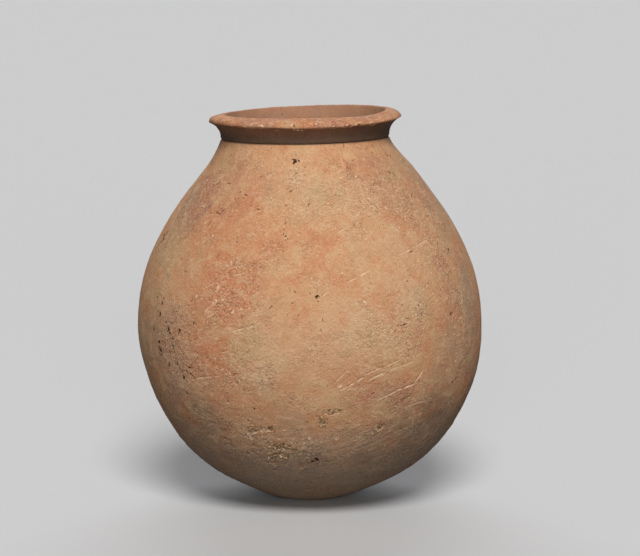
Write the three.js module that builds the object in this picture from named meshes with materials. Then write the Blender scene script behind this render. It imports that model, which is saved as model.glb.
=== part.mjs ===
// A large round water jar of bare fired clay, built by hand from eight pieces of clay:
// a round bowl, five bands of wall, a roll that seals the neck from inside, and a rim ring.
// Millimetres, +Z up, foot on z = 0, the side that is usually shown faces -Y.

import * as THREE from "three";

// Outside of the body
const BELLY_RADIUS = 175.5;
const BELLY_HEIGHT = 177;
const LOWER_FULLNESS = 1.948; // 2 is an ellipse, less is leaner
const FOOT_WEAR = 3; // how deep the round bottom is worn flat
const SHOULDER_RISE = 191.2; // from the belly up to the seat of the rim
const SHOULDER_FULLNESS = 2.23;
const SHOULDER_SLOPE = 1.34;
const MOUTH_RADIUS = 85.5;

// Wall, square to the outside
const FLOOR_WALL = 12.5;
const BELLY_WALL = 8;
const NECK_WALL = 10;

// Bands of wall and the bevelled laps between them
const BOWL_HEIGHT = 78;
const BAND_NAMES = [
  "lower_wall_course",
  "lower_belly_course",
  "upper_belly_course",
  "lower_shoulder_course",
  "upper_shoulder_course",
];
const LAP_HEIGHT = 10;
const SLIP_GAP = 0.3; // layer of slip between two pieces

// Rim ring, measured from its seat
const RIM_HEIGHT = 26.2;
const LIP_REACH = 11.6; // how far the lip stands out past the neck
const LIP_DROP = 8.2; // from the crest down to the widest part of the lip
const LIP_NOSE = 1.6; // from the widest part down to the lip's lower edge
const LIP_NOSE_INSET = 1.2;
const UNDERSIDE_HOLLOW = 2.6; // power of the curve from neck to lip
const CREST_INSET = 15; // from the widest part of the lip in to the crest
const CREST_EDGE = 1.6; // rounding of the inner edge
const THROAT_FLARE = 5.5; // how far the inside opens from the seat to the inner edge

// Roll of clay over the seam inside the neck
const SEAL_BELOW = 11;
const SEAL_ABOVE = 8;
const SEAL_THICKNESS = 3.6; // over the corner of the seat

// What the hand did: the body sways, the mouth leans and sits off centre
const LOWER_SWAY = 1.9;
const MOUTH_SHIFT = 4.7;
const SHIFT_LENGTH = 32; // below the seat, where the shift starts
const RIM_LEAN = 2.2; // degrees at the crest, higher on the +X side
const LEAN_LENGTH = 50; // below the seat, where the lean starts

// Fineness of the faces
const SEGMENTS = 64;
const BAND_STEPS = 5;
const BOWL_STEPS = 8;
const BOWL_CROWDING = 1.8;

const SEAT_HEIGHT = BELLY_HEIGHT + SHOULDER_RISE;
const NECK_INSIDE = MOUTH_RADIUS - NECK_WALL;

// Radius of the outside at a height: a superellipse below the belly, and above it a dome that
// turns up into the mouth.
function outsideRadius(z) {
  if (z <= BELLY_HEIGHT) {
    const fall = (BELLY_HEIGHT - z) / (BELLY_HEIGHT + FOOT_WEAR);
    return BELLY_RADIUS * (1 - fall ** LOWER_FULLNESS) ** (1 / LOWER_FULLNESS);
  }
  const rise = Math.min(1, (z - BELLY_HEIGHT) / SHOULDER_RISE);
  const dome = (1 - rise ** SHOULDER_FULLNESS) ** SHOULDER_SLOPE;
  return MOUTH_RADIUS + (BELLY_RADIUS - MOUTH_RADIUS) * dome;
}

// Thickness of the wall at a height of the outside.
function wallThickness(z) {
  if (z <= BELLY_HEIGHT) {
    const fall = (BELLY_HEIGHT - z) / BELLY_HEIGHT;
    return BELLY_WALL + (FLOOR_WALL - BELLY_WALL) * fall ** 2;
  }
  const rise = (z - BELLY_HEIGHT) / SHOULDER_RISE;
  return BELLY_WALL + (NECK_WALL - BELLY_WALL) * rise ** 2;
}

// A point in the wall: z is the height of the outside, depth runs from 0 outside to 1 inside
// along the square to the outside.
function wallPoint(z, depth) {
  const step = 0.25;
  const low = Math.max(0, z - step);
  const high = Math.min(SEAT_HEIGHT, z + step);
  const slope = (outsideRadius(high) - outsideRadius(low)) / (high - low);
  const flare = z >= SEAT_HEIGHT ? 0 : slope; // the seat is level
  const inward = (depth * wallThickness(z)) / Math.hypot(1, flare);
  return new THREE.Vector2(outsideRadius(z) - inward, z + inward * flare);
}

// Points along the wall at one depth, from one height to another. A crowding over 1 sets them
// closer together at the lower end.
function wallLine(low, high, depth, steps, crowding = 1) {
  return Array.from({ length: steps + 1 }, (_, i) =>
    wallPoint(low + (high - low) * (i / steps) ** crowding, depth),
  );
}

// The bevelled edge at a joint, as the heights of its outer and inner end. Each bevel runs the way
// that makes a seat: outer end high where the wall leans out, inner end high where it leans in.
function lapEnds(z) {
  const tilt = z < BELLY_HEIGHT ? LAP_HEIGHT / 2 : -LAP_HEIGHT / 2;
  return { outer: z + tilt, inner: z - tilt };
}

// How far up the wall the upper piece starts, so that the lap keeps the slip gap.
function slipAlongWall(z) {
  const wall = wallThickness(z);
  return (SLIP_GAP * Math.hypot(wall, LAP_HEIGHT)) / wall;
}

// Bends the true round form into the hand-built one.
function handBuilt(geometry) {
  const place = geometry.getAttribute("position");
  const leanStart = SEAT_HEIGHT - LEAN_LENGTH;
  const crest = SEAT_HEIGHT + RIM_HEIGHT;
  const lean = Math.tan(THREE.MathUtils.degToRad(RIM_LEAN));
  for (let i = 0; i < place.count; i++) {
    const x = place.getX(i);
    const z = place.getZ(i);
    const sway = z < BELLY_HEIGHT ? Math.sin((Math.PI * z) / BELLY_HEIGHT) : 0;
    const shift = THREE.MathUtils.smoothstep(z, SEAT_HEIGHT - SHIFT_LENGTH, SEAT_HEIGHT);
    const ramp = Math.max(0, (z - leanStart) / (crest - leanStart));
    place.setX(i, x + LOWER_SWAY * sway - MOUTH_SHIFT * shift);
    place.setZ(i, z + x * lean * ramp ** 2);
  }
  geometry.computeVertexNormals();
  return geometry;
}

// A round piece of clay from its section, radius against height, listed anticlockwise.
function clayPiece(name, section, clay) {
  const geometry = new THREE.LatheGeometry(section, SEGMENTS);
  geometry.rotateX(Math.PI / 2);
  const mesh = new THREE.Mesh(handBuilt(geometry), clay);
  mesh.name = name;
  return mesh;
}

// A section that closes on itself.
function closed(points) {
  return [...points, points[0].clone()];
}

// The bottom, round inside and out, worn flat at the foot.
function baseBowl(clay) {
  const edge = lapEnds(BOWL_HEIGHT);
  const outer = wallLine(0, edge.outer, 0, BOWL_STEPS, BOWL_CROWDING);
  const inner = wallLine(0, edge.inner, 1, BOWL_STEPS, BOWL_CROWDING).reverse();
  const footCentre = new THREE.Vector2(0, 0);
  const floorCentre = new THREE.Vector2(0, FLOOR_WALL - FOOT_WEAR);
  return clayPiece("base_bowl", [footCentre, ...outer, ...inner, floorCentre], clay);
}

// One band of wall between two joint heights, lapped onto the piece below. The top band ends in
// the level seat of the rim instead of a bevel.
function wallBand(name, from, to, isTop, clay) {
  const slip = slipAlongWall(from);
  const foot = lapEnds(from);
  const head = isTop ? { outer: to, inner: to } : lapEnds(to);
  const outer = wallLine(foot.outer + slip, head.outer, 0, BAND_STEPS);
  const inner = wallLine(foot.inner + slip, head.inner, 1, BAND_STEPS).reverse();
  return clayPiece(name, closed([...outer, ...inner]), clay);
}

// The inside of the rim ring at a height above its seat.
function throatRadius(height) {
  const share = height / RIM_HEIGHT;
  return NECK_INSIDE + THROAT_FLARE * share ** 1.5;
}

// Neck and everted lip in one ring: a hollow curve out to the lip's lower edge, a round nose, a
// quarter ellipse up to the crest, and an inside that opens upwards.
function rimRing(clay) {
  const seat = SEAT_HEIGHT + SLIP_GAP;
  const widest = RIM_HEIGHT - LIP_DROP;
  const edge = widest - LIP_NOSE;
  const reach = LIP_REACH - LIP_NOSE_INSET;
  const crestRadius = MOUTH_RADIUS + LIP_REACH - CREST_INSET;
  const points = [];
  for (const share of [0, 0.25, 0.5, 0.7, 0.86, 1]) {
    const radius = MOUTH_RADIUS + reach * share ** UNDERSIDE_HOLLOW;
    points.push(new THREE.Vector2(radius, seat + (edge - SLIP_GAP) * share));
  }
  for (const degrees of [0, 18, 36, 54, 72, 90]) {
    const turn = THREE.MathUtils.degToRad(degrees);
    const radius = crestRadius + CREST_INSET * Math.cos(turn);
    points.push(new THREE.Vector2(radius, SEAT_HEIGHT + widest + LIP_DROP * Math.sin(turn)));
  }
  const innerEdge = RIM_HEIGHT - CREST_EDGE;
  for (const share of [1, 0.66, 0.33, 0]) {
    const height = SLIP_GAP + (innerEdge - SLIP_GAP) * share;
    points.push(new THREE.Vector2(throatRadius(height), SEAT_HEIGHT + height));
  }
  return clayPiece("rim_ring", closed(points), clay);
}

// The roll inside the neck. Its back follows the wall and the ring, and its face is an arc that
// keeps the roll's thickness over the corner where they meet.
function neckSealCoil(clay) {
  const wallSteps = 3;
  const faceSteps = 6;
  const bottom = SEAT_HEIGHT - SEAL_BELOW;
  const back = wallLine(bottom, SEAT_HEIGHT, 1, wallSteps);
  back.push(new THREE.Vector2(throatRadius(SEAL_ABOVE), SEAT_HEIGHT + SEAL_ABOVE));
  back.forEach((point) => {
    point.x -= SLIP_GAP;
  });
  const low = back[0];
  const corner = back[wallSteps];
  const top = back[back.length - 1];
  const cornerShare = (top.y - corner.y) / (top.y - low.y);
  const cornerStandsOut = THREE.MathUtils.lerp(top.x, low.x, cornerShare) - corner.x;
  const bulge = (cornerStandsOut + SEAL_THICKNESS) / Math.sin(Math.PI * cornerShare);
  const face = [];
  for (let i = 1; i < faceSteps; i++) {
    const share = i / faceSteps;
    const point = top.clone().lerp(low, share);
    point.x -= bulge * Math.sin(Math.PI * share);
    face.push(point);
  }
  return clayPiece("neck_seal_coil", closed([...back, ...face]), clay);
}

function clay(name, color, roughness) {
  return new THREE.MeshStandardMaterial({ name, color, roughness, metalness: 0 });
}

const bodyClay = clay("body_clay", 0xb98d69, 0.9);
const rimClay = clay("rim_clay", 0xc08a63, 0.88);
const sealClay = clay("seal_clay", 0x9a7458, 0.92);

const jar = new THREE.Group();
jar.name = "globular_water_jar";
jar.add(baseBowl(bodyClay));
const bandHeight = (SEAT_HEIGHT - BOWL_HEIGHT) / BAND_NAMES.length;
BAND_NAMES.forEach((name, i) => {
  const from = BOWL_HEIGHT + bandHeight * i;
  const isTop = i === BAND_NAMES.length - 1;
  jar.add(wallBand(name, from, from + bandHeight, isTop, bodyClay));
});
jar.add(neckSealCoil(sealClay));
jar.add(rimRing(rimClay));

export default jar;
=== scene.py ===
# The large round water jar of bare fired clay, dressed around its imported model.
# Each piece of clay gets one fine mesh with the hand's unevenness, pits, scratches and spalls in
# its shape, and a clay finish that reads the same marks as tones. Shapes are worked out in
# millimetres, on the CAD model's own formulas, and turned into metres as a mesh is made.

import itertools
import math

import bpy
import numpy as np
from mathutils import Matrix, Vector


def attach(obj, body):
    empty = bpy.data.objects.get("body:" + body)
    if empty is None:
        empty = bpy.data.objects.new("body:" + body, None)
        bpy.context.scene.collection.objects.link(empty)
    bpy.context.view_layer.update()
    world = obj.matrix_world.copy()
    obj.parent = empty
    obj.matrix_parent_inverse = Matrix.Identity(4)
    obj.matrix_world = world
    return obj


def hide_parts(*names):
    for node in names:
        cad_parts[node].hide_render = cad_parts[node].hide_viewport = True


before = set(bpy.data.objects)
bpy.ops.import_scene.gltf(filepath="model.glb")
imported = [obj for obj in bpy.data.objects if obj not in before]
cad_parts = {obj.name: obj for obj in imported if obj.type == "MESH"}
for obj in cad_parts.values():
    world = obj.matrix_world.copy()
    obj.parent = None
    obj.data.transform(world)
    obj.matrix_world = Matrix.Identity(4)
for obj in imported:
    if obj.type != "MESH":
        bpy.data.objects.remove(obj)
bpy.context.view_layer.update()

# Outside of the body
BELLY_RADIUS = 175.5
BELLY_HEIGHT = 177
LOWER_FULLNESS = 1.948
FOOT_WEAR = 3
SHOULDER_RISE = 191.2
SHOULDER_FULLNESS = 2.23
SHOULDER_SLOPE = 1.34
MOUTH_RADIUS = 85.5
SEAT_HEIGHT = BELLY_HEIGHT + SHOULDER_RISE

# Wall, and the bevelled laps between its bands
FLOOR_WALL = 12.5
BELLY_WALL = 8
NECK_WALL = 10
NECK_INSIDE = MOUTH_RADIUS - NECK_WALL
BOWL_HEIGHT = 78
BAND_NAMES = [
    "lower_wall_course",
    "lower_belly_course",
    "upper_belly_course",
    "lower_shoulder_course",
    "upper_shoulder_course",
]
LAP_HEIGHT = 10
SLIP_GAP = 0.3

# Rim ring, measured from its seat
RIM_HEIGHT = 26.2
LIP_REACH = 11.6
LIP_DROP = 8.2
CREST_INSET = 15
CREST_EDGE = 1.6
THROAT_FLARE = 5.5

# Roll of clay inside the neck
SEAL_BELOW = 11
SEAL_ABOVE = 8
SEAL_THICKNESS = 3.6
SEAL_BACK_ROWS = 7
SEAL_FACE_ROWS = 24
FINGER_MARKS = 23

# What the hand did
LOWER_SWAY = 1.9
MOUTH_SHIFT = 4.7
SHIFT_LENGTH = 32
RIM_LEAN = 2.2
LEAN_LENGTH = 50

# What the CAD model leaves out: a slightly fuller ring low down, a leaner one at the foot, and a
# rim whose lip is sharper and whose edges wave
LOW_FULLNESS = 1.3
LOW_FULL_HEIGHT = 58
LOW_FULL_REACH = 25
FOOT_LEANNESS = 3.6
FOOT_LEAN_HEIGHT = 14
FOOT_LEAN_REACH = 12
SEEN_FLARE = 2.9
SEEN_NOSE = 1.1
SEEN_NOSE_INSET = 0.5
LIP_WAVE = 1.5
WAVE_TURN = 0.25  # radians to the right of the front
WAVE_BEHIND = 0.4  # share of the wave that is left behind
CREST_DIP = 2.2
DIP_TURN = 0.75
DIP_SPREAD = 0.55

# Fineness of the meshes, and how much closer the columns stand in front
COLUMNS = 960
ROW_STEP = 0.9
BOWL_ROW_STEP = 1.9
RIM_ROW_STEP = ROW_STEP * 0.85
BOWL_CROWDING = 0.45
MEASURING_POINTS = 2000  # of a fine line along which rows are spread
FRONT_CROWDING = 0.4
FOOT_ROWS = 5
INNER_ROWS = 10
TURN_SLACK = 1.3  # the jar narrows within a mark's reach, so columns a little further off count too

# The picture that the camera takes, in pixels and millimetres
PICTURE_WIDTH = 640
PICTURE_HEIGHT = 556
CAMERA_PLACE = np.array([0.0, -2600.0, 587.0])
CAMERA_AIM = np.array([10.4, 0.0, 224.4])
FOCAL_PIXELS = 2578.7
SENSOR_WIDTH = 36.0

random = np.random.default_rng(20)


def draws(*ranges):
    """One even random number from each range, drawn in their order."""
    return [random.uniform(low, high) for low, high in ranges]


def smoothstep(low, high, value):
    """0 below low, 1 above high, and 3t^2 - 2t^3 between them."""
    share = np.clip((value - low) / (high - low), 0, 1)
    return share * share * (3 - 2 * share)


# Form of the jar


def outside_radius(z):
    """A superellipse below the belly; above it a dome that turns up into the mouth."""
    z = np.asarray(z, float)
    fall = np.clip((BELLY_HEIGHT - z) / (BELLY_HEIGHT + FOOT_WEAR), 0, 1)
    lower = BELLY_RADIUS * (1 - fall**LOWER_FULLNESS) ** (1 / LOWER_FULLNESS)
    rise = np.clip((z - BELLY_HEIGHT) / SHOULDER_RISE, 0, 1)
    dome = (1 - rise**SHOULDER_FULLNESS) ** SHOULDER_SLOPE
    upper = MOUTH_RADIUS + (BELLY_RADIUS - MOUTH_RADIUS) * dome
    return np.where(z <= BELLY_HEIGHT, lower, upper)


def wall_thickness(z):
    """The wall thickens with the square of the way from the belly down to the floor or up to the neck."""
    fall = np.clip((BELLY_HEIGHT - z) / BELLY_HEIGHT, 0, 1)
    rise = np.clip((z - BELLY_HEIGHT) / SHOULDER_RISE, 0, 1)
    return BELLY_WALL + (FLOOR_WALL - BELLY_WALL) * fall**2 + (NECK_WALL - BELLY_WALL) * rise**2


def wall_line(stations, depth):
    """Radius and height of points at a share of the wall's depth, square to the outside at each station."""
    z = np.asarray(stations, float)
    step = 0.25
    low, high = np.maximum(0, z - step), np.minimum(SEAT_HEIGHT, z + step)
    slope = (outside_radius(high) - outside_radius(low)) / (high - low)
    flare = np.where(z >= SEAT_HEIGHT, 0, slope)
    inward = depth * wall_thickness(z) / np.hypot(1, flare)
    return np.stack([outside_radius(z) - inward, z + inward * flare], axis=1)


def lap_ends(z):
    """Heights of the outer and inner end of the bevel at a joint; each bevel makes a seat."""
    tilt = LAP_HEIGHT / 2 if z < BELLY_HEIGHT else -LAP_HEIGHT / 2
    return z + tilt, z - tilt


def slip_along_wall(z):
    """How far up the wall a piece starts, so that its lap keeps the layer of slip."""
    wall = float(wall_thickness(np.array(z, float)))
    return SLIP_GAP * math.hypot(wall, LAP_HEIGHT) / wall


def throat_radius(height):
    """The inside of the rim ring opens with the power 1.5 of the height above its seat."""
    return NECK_INSIDE + THROAT_FLARE * (height / RIM_HEIGHT) ** 1.5


def hand_built(points):
    """Sways the lower body, shifts the mouth sideways and leans the rim, as the jar's builder did."""
    x, y, z = np.moveaxis(points, -1, 0)
    lean_start = SEAT_HEIGHT - LEAN_LENGTH
    crest = SEAT_HEIGHT + RIM_HEIGHT
    sway = np.where(z < BELLY_HEIGHT, np.sin(np.pi * np.clip(z, 0, None) / BELLY_HEIGHT), 0)
    shift = smoothstep(SEAT_HEIGHT - SHIFT_LENGTH, SEAT_HEIGHT, z)
    ramp = np.maximum(0, (z - lean_start) / (crest - lean_start))
    lifted = z + x * math.tan(math.radians(RIM_LEAN)) * ramp**2
    return np.stack([x + LOWER_SWAY * sway - MOUTH_SHIFT * shift, y, lifted], axis=-1)


def column_turns():
    """Turn of each column from the front: evenly spread u less a share of sin u, so closer in front."""
    even = 2 * np.pi * np.arange(COLUMNS) / COLUMNS
    return even - FRONT_CROWDING * np.sin(even)


TURNS = column_turns()
TURNS_SIGNED = (TURNS + np.pi) % (2 * np.pi) - np.pi


def ring(section):
    """Turns a section of radii and heights round the axis: x = r sin t, y = -r cos t."""
    radius, height = section[:, :1], section[:, 1:]
    level = height + 0 * TURNS
    return hand_built(np.stack([radius * np.sin(TURNS), -radius * np.cos(TURNS), level], axis=-1))


def along_section(section):
    """Length of the way along a section up to each of its points."""
    steps = np.hypot(*np.diff(section, axis=0).T)
    return np.concatenate([[0], np.cumsum(steps)])


def evenly(section, step):
    """The same section with points a step apart along it; both ends stay."""
    way = along_section(section)
    count = max(2, int(round(way[-1] / step)) + 1)
    at = np.linspace(0, way[-1], count)
    return np.stack([np.interp(at, way, section[:, k]) for k in (0, 1)], axis=1)


def grid_normals(points):
    """Unit normals of a grid that closes on itself column-wise: across x up, from the differences
    between a point's neighbours."""
    across = np.roll(points, -1, axis=1) - np.roll(points, 1, axis=1)
    up = np.gradient(points, axis=0)
    normal = np.cross(across, up)
    return normal / np.maximum(np.linalg.norm(normal, axis=-1, keepdims=True), 1e-9)


def unevenness(points, size, seed):
    """Gradient noise, about -1 to 1: each corner of a lattice of cubes of that size has a seeded
    direction, and a point blends what the eight corners round it say with a quintic fade."""
    seeded = np.random.default_rng(seed)
    order = seeded.permutation(256)
    directions = seeded.normal(size=(256, 3))
    directions /= np.linalg.norm(directions, axis=1, keepdims=True)
    place = points / size + seeded.uniform(0, 200, 3)
    cell = np.floor(place).astype(np.int64)
    inside = place - cell
    fade = inside**3 * (inside * (inside * 6 - 15) + 10)
    total = np.zeros(points.shape[:-1])
    for corner in itertools.product((0, 1), repeat=3):
        i, j, k = np.moveaxis(cell + np.array(corner), -1, 0)
        pick = order[(order[(order[i & 255] + j) & 255] + k) & 255]
        weight = np.prod(np.where(np.array(corner) == 1, fade, 1 - fade), axis=-1)
        total += weight * np.sum((inside - corner) * directions[pick], axis=-1)
    return 2 * total


# Where the camera sees a point


def in_picture(points):
    """Pixel column and row of points: the offset from the aim line over the depth, times the focal length."""
    ahead = CAMERA_AIM - CAMERA_PLACE
    ahead = ahead / np.linalg.norm(ahead)
    right = np.cross(ahead, [0, 0, 1])
    right = right / np.linalg.norm(right)
    up = np.cross(right, ahead)
    offset = points - CAMERA_PLACE
    depth = offset @ ahead
    column = PICTURE_WIDTH / 2 + FOCAL_PIXELS * (offset @ right) / depth
    row = PICTURE_HEIGHT / 2 - FOCAL_PIXELS * (offset @ up) / depth
    return column, row


# What the mesh says at each point, and its value where there is no mark. The first ones are
# amounts of a tone, some of them painted shade and painted light, and rough is how coarse the clay
# is there; pore, black, crumb and chip say how far inside the edge of such a mark the point is, in
# mm, and at the edges of spalls pore also carries painted shade and chip a painted highlight; beside
# is the distance from the middle of a scratch and scored is how strong it is there.
MARGIN = 2.5  # how far outside its edge a mark is measured
NO_MARK = {
    "blush": 0.0, "cream_and_painted_light": 0.0, "sand": 0.0, "rose": 0.0, "mauve": 0.0, "ash_and_painted_shade": 0.0, "painted_shade": 0.0,
    "rough": 0.5, "stain": 0.0, "painted_shade_under_lip": 0.0, "inside": 0.0,
    "pore_and_painted_shade": -MARGIN, "black": -MARGIN, "crumb": -MARGIN, "chip_and_painted_highlight": -MARGIN, "beside": 9.0, "scored": 0.0,
}


# Sizes in mm of the noises that every skin has, and what draws a noise out level round the jar
LUMP_SIZE = 6.0
GRIT_SIZE = 2.4
LEVEL_STRETCH = np.array([0.3, 0.3, 1.0])


def unmarked(shape):
    """A grid of each kind of mark, with nothing on it."""
    return {name: np.full(shape, value) for name, value in NO_MARK.items()}


class Skin:
    """An outer surface as a grid, rows from low to high and columns round the jar. It holds how deep
    each point is pressed in, in millimetres, and the marks on it."""

    def __init__(self, section, wave=lambda points: points):
        self.section = section
        self.way = along_section(section)
        self.form = wave(ring(section))
        self.normal = grid_normals(self.form)
        self.depth = np.zeros(self.form.shape[:2])
        self.marks = unmarked(self.form.shape[:2])
        column, row = in_picture(self.form)
        faces_camera = np.sum(self.normal * (CAMERA_PLACE - self.form), axis=-1) > 0
        self.column = np.where(faces_camera, column, np.inf)
        self.row = row
        self.lumps = unevenness(self.form, LUMP_SIZE, 61)
        self.grit = unevenness(self.form, GRIT_SIZE, 62)
        self.streaks = unevenness(self.form * LEVEL_STRETCH, GRIT_SIZE, 65)

    def seen_at(self, column, row):
        """Grid place of the point that the camera sees at a pixel of its picture."""
        away = (self.column - column) ** 2 + (self.row - row) ** 2
        return np.unravel_index(np.argmin(away), away.shape)

    def at(self, turn, way):
        """Grid place at a turn from the front and a way up the section."""
        return np.argmin(np.abs(self.way - way)), np.argmin(np.abs(turn_between(turn, TURNS)))

    def round(self, place, reach):
        """The part of the grid within reach of a place, with its offsets across and up in mm."""
        row, column = place
        up = self.way - self.way[row]
        rows = np.nonzero(np.abs(up) <= reach)[0]
        radius = np.maximum(self.section[rows, 0], 1.0)
        widest = reach / max(self.section[row, 0], 1.0)
        turn = turn_between(TURNS[column], TURNS)
        columns = np.nonzero(np.abs(turn) <= widest * TURN_SLACK)[0]
        across = turn[columns][None, :] * radius[:, None]
        return np.ix_(rows, columns), across, np.broadcast_to(up[rows][:, None], across.shape)

    def lay(self, part, name, amount):
        """Lets a mark rise to an amount, never sink."""
        self.marks[name][part] = np.maximum(self.marks[name][part], amount)

    def surface(self):
        """The form with each point pressed in along its normal by its depth."""
        return self.form - self.normal * self.depth[..., None]


def turn_between(start, end):
    """The turn from start to end, between minus and plus half a turn."""
    return (end - start + np.pi) % (2 * np.pi) - np.pi


# Marks in the clay

LARGE_SPECK = 0.9  # radius over which a black speck has several small ones round it
SPECK_SPREAD_ACROSS = 2.8
SPECK_SPREAD_UP = 3.4
SPALL_PER_CHIP = 2.4  # square mm of a spall for each chip or hole at its edge
SMALL_PIT_DEPTH = 0.35
SEEN_PIT_DEPTH = 0.6
SEEN_CUT_DEPTH = 0.3
SEEN_CUT_WIDTH = 0.75  # share of the width in the table, as for the flecks
FLECK_WIDTH = 0.9
FLECK_HEIGHT = 0.1
SCRATCH_BOW = 0.02  # share of a scratch's length
RIDGE_HEIGHT = 0.35  # of the ridge beside a scratch, as a share of its depth
RIDGE_OFFSET = 1.6  # as a share of its width


def turned(across, up, degrees):
    """The offsets along and beside a line that rises to the right by an angle."""
    cos, sin = math.cos(math.radians(degrees)), math.sin(math.radians(degrees))
    return across * cos + up * sin, up * cos - across * sin


def wavy_edge(across, up):
    """A share round 1 that changes with the bearing, so that no hole is quite round."""
    bearing = np.arctan2(up, across)
    phase = random.uniform(0, 6.28, 2)
    return 1 + 0.28 * np.sin(2 * bearing + phase[0]) + 0.2 * np.sin(3 * bearing + phase[1])


def spot(skin, place, radius, relief, mark, stretch=1.0, degrees=0.0):
    """A hole, or with a negative relief a grain: relief times (1 - d^2), d being the distance over the
    radius, in an oval stretched along an angle."""
    part, across, up = skin.round(place, radius * 1.5 * stretch + MARGIN)
    along, beside = turned(across, up, degrees)
    edge = radius * wavy_edge(along, beside)
    distance = np.hypot(along / stretch, beside)
    skin.depth[part] += relief * np.clip(1 - (distance / edge) ** 2, 0, 1)
    skin.lay(part, mark, edge - distance)


def pit(skin, place, radius, depth, stretch=1.0, degrees=0.0):
    """A small brown hole."""
    spot(skin, place, radius, depth, "pore_and_painted_shade", stretch, degrees)


def black_speck(skin, place, radius):
    """A burnt hole, longer up and down than across, with a few small ones round it."""
    lean = random.uniform(70, 130)
    spot(skin, place, 1.1 * radius, 0.25, "black", random.uniform(1.0, 1.25), lean)
    for _ in range(int(random.integers(2, 6)) if radius > LARGE_SPECK else 1):
        turn = TURNS[place[1]] + random.normal() * SPECK_SPREAD_ACROSS / skin.section[place[0], 0]
        beside = skin.at(turn, skin.way[place[0]] + random.normal() * SPECK_SPREAD_UP)
        spot(skin, beside, random.uniform(0.35, 0.8), 0.2, "black", 1.1, lean)


def crumb(skin, place, radius, height=0.15):
    """A grain of pale grit that stands out a little."""
    spot(skin, place, radius, -height, "crumb", random.uniform(1.0, 1.8), random.uniform(0, 180))


def chip_and_painted_highlight(skin, place, length, width, degrees, height=0.14, mark="chip_and_painted_highlight"):
    """A pale flake that stands out a little: an oval turned by an angle, its edge broken by lumps."""
    part, across, up = skin.round(place, length * 1.4 + MARGIN)
    along, beside = turned(across, up, degrees)
    distance = np.hypot(along / length, beside / width) + 0.5 * skin.grit[part] + 0.3 * skin.lumps[part]
    skin.depth[part] -= height * smoothstep(1.1, 0.8, distance)
    skin.lay(part, mark, (1 - distance) * width)


def nick(skin, place, length, width, degrees, depth):
    """A short dark cut with a pale lip under it."""
    pit(skin, place, width, depth, length / width, degrees)
    row = min(max(place[0] - max(1, int(round(width * 1.6 / ROW_STEP))), 0), len(skin.way) - 1)
    chip_and_painted_highlight(skin, (row, place[1]), length * 0.9, width * 0.7, degrees, 0.1)


def scratch(skin, start, end, width, depth, strength):
    """A nearly straight groove that thins out at its ends: its depth is exp of minus the squared
    distance over the width, and it bows a little along a sine."""
    (row_a, column_a), (row_b, column_b) = start, end
    middle_row = (row_a + row_b) // 2
    radius = skin.section[middle_row, 0]
    run = turn_between(TURNS[column_a], TURNS[column_b]) * radius
    rise = skin.way[row_b] - skin.way[row_a]
    length = max(math.hypot(run, rise), 1.0)
    part, across, up = skin.round(start, length + 4)
    share = (across * run + up * rise) / length**2
    side = 1 if run > 0 else -1
    beside = side * (up * run - across * rise) / length
    bow = SCRATCH_BOW * length * np.sin(np.pi * share + random.uniform(0, 3))
    beside = beside - bow - 0.4 * skin.lumps[part]
    taper = np.sqrt(np.clip(np.sin(np.pi * np.clip(share, 0, 1)), 0, 1))
    taper = taper * np.clip(0.75 + 0.9 * skin.lumps[part], 0.1, 1)
    ridge = np.exp(-(((beside + RIDGE_OFFSET * width) / width) ** 2))
    skin.depth[part] += depth * taper * (np.exp(-((beside / width) ** 2)) - RIDGE_HEIGHT * ridge)
    nearer = (np.abs(beside) < np.abs(skin.marks["beside"][part])) & (share > 0) & (share < 1)
    skin.marks["beside"][part] = np.where(nearer, beside, skin.marks["beside"][part])
    skin.marks["scored"][part] = np.where(nearer, strength * taper, skin.marks["scored"][part])


def spall(skin, place, length, height, depth, slant=0.0):
    """A patch where the skin came off: inside a ragged slanted oval the floor is streaky and stained,
    with painted shade under its upper edge and a painted highlight along its lower one, and pale chips round
    it."""
    part, across, up = skin.round(place, max(length, height) * 1.8)
    up = up - slant * across
    streaks, grit = skin.streaks[part], skin.grit[part]
    distance = np.hypot(across / length, up / height) + 0.5 * skin.lumps[part] + 0.4 * streaks + 0.2 * grit
    off = smoothstep(1.05, 0.7, distance)
    floor = depth * (0.25 + 0.3 * streaks + 0.3 * grit)
    skin.depth[part] += off * np.maximum(floor, 0)
    skin.lay(part, "stain", off * np.clip(0.75 + 0.6 * skin.lumps[part] - 0.6 * grit, 0, 1))
    at_edge = np.exp(-(((distance - 0.9) / 0.2) ** 2))
    # Painted highlight along the lower edge, painted shade under the upper edge
    lower, upper = smoothstep(0.2, -0.5, up / height), smoothstep(-0.1, 0.5, up / height)
    skin.lay(part, "chip_and_painted_highlight", 1.6 * at_edge * lower * smoothstep(-0.1, 0.35, grit + streaks) - 0.7)
    skin.lay(part, "pore_and_painted_shade", 0.9 * at_edge * upper * smoothstep(0.0, 0.4, streaks - grit) - 0.7)
    for _ in range(int(length * height / SPALL_PER_CHIP)):
        bearing, share = random.uniform(0, 2 * np.pi), random.uniform(0.2, 1.1)
        turn = TURNS[place[1]] + share * length * math.cos(bearing) / skin.section[place[0], 0]
        rise = share * height * math.sin(bearing) + slant * share * length * math.cos(bearing)
        beside = skin.at(turn, skin.way[place[0]] + rise)
        kind = random.uniform()
        # Pale grains fall more often low in the spall, part of its painted highlight
        if kind < 0.45 - 0.25 * math.sin(bearing):
            chip_and_painted_highlight(skin, beside, *draws((0.8, 2.4), (0.5, 0.8), (-30, 60)), 0.3, "crumb")
        elif kind < 0.75:
            chip_and_painted_highlight(skin, beside, *draws((0.8, 2.4), (0.5, 0.9), (-30, 60)), 0.2)
        else:
            radius, stretch, degrees = draws((0.35, 0.7), (1, 3), (-20, 40))
            pit(skin, beside, radius, SMALL_PIT_DEPTH, stretch, degrees)


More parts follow.
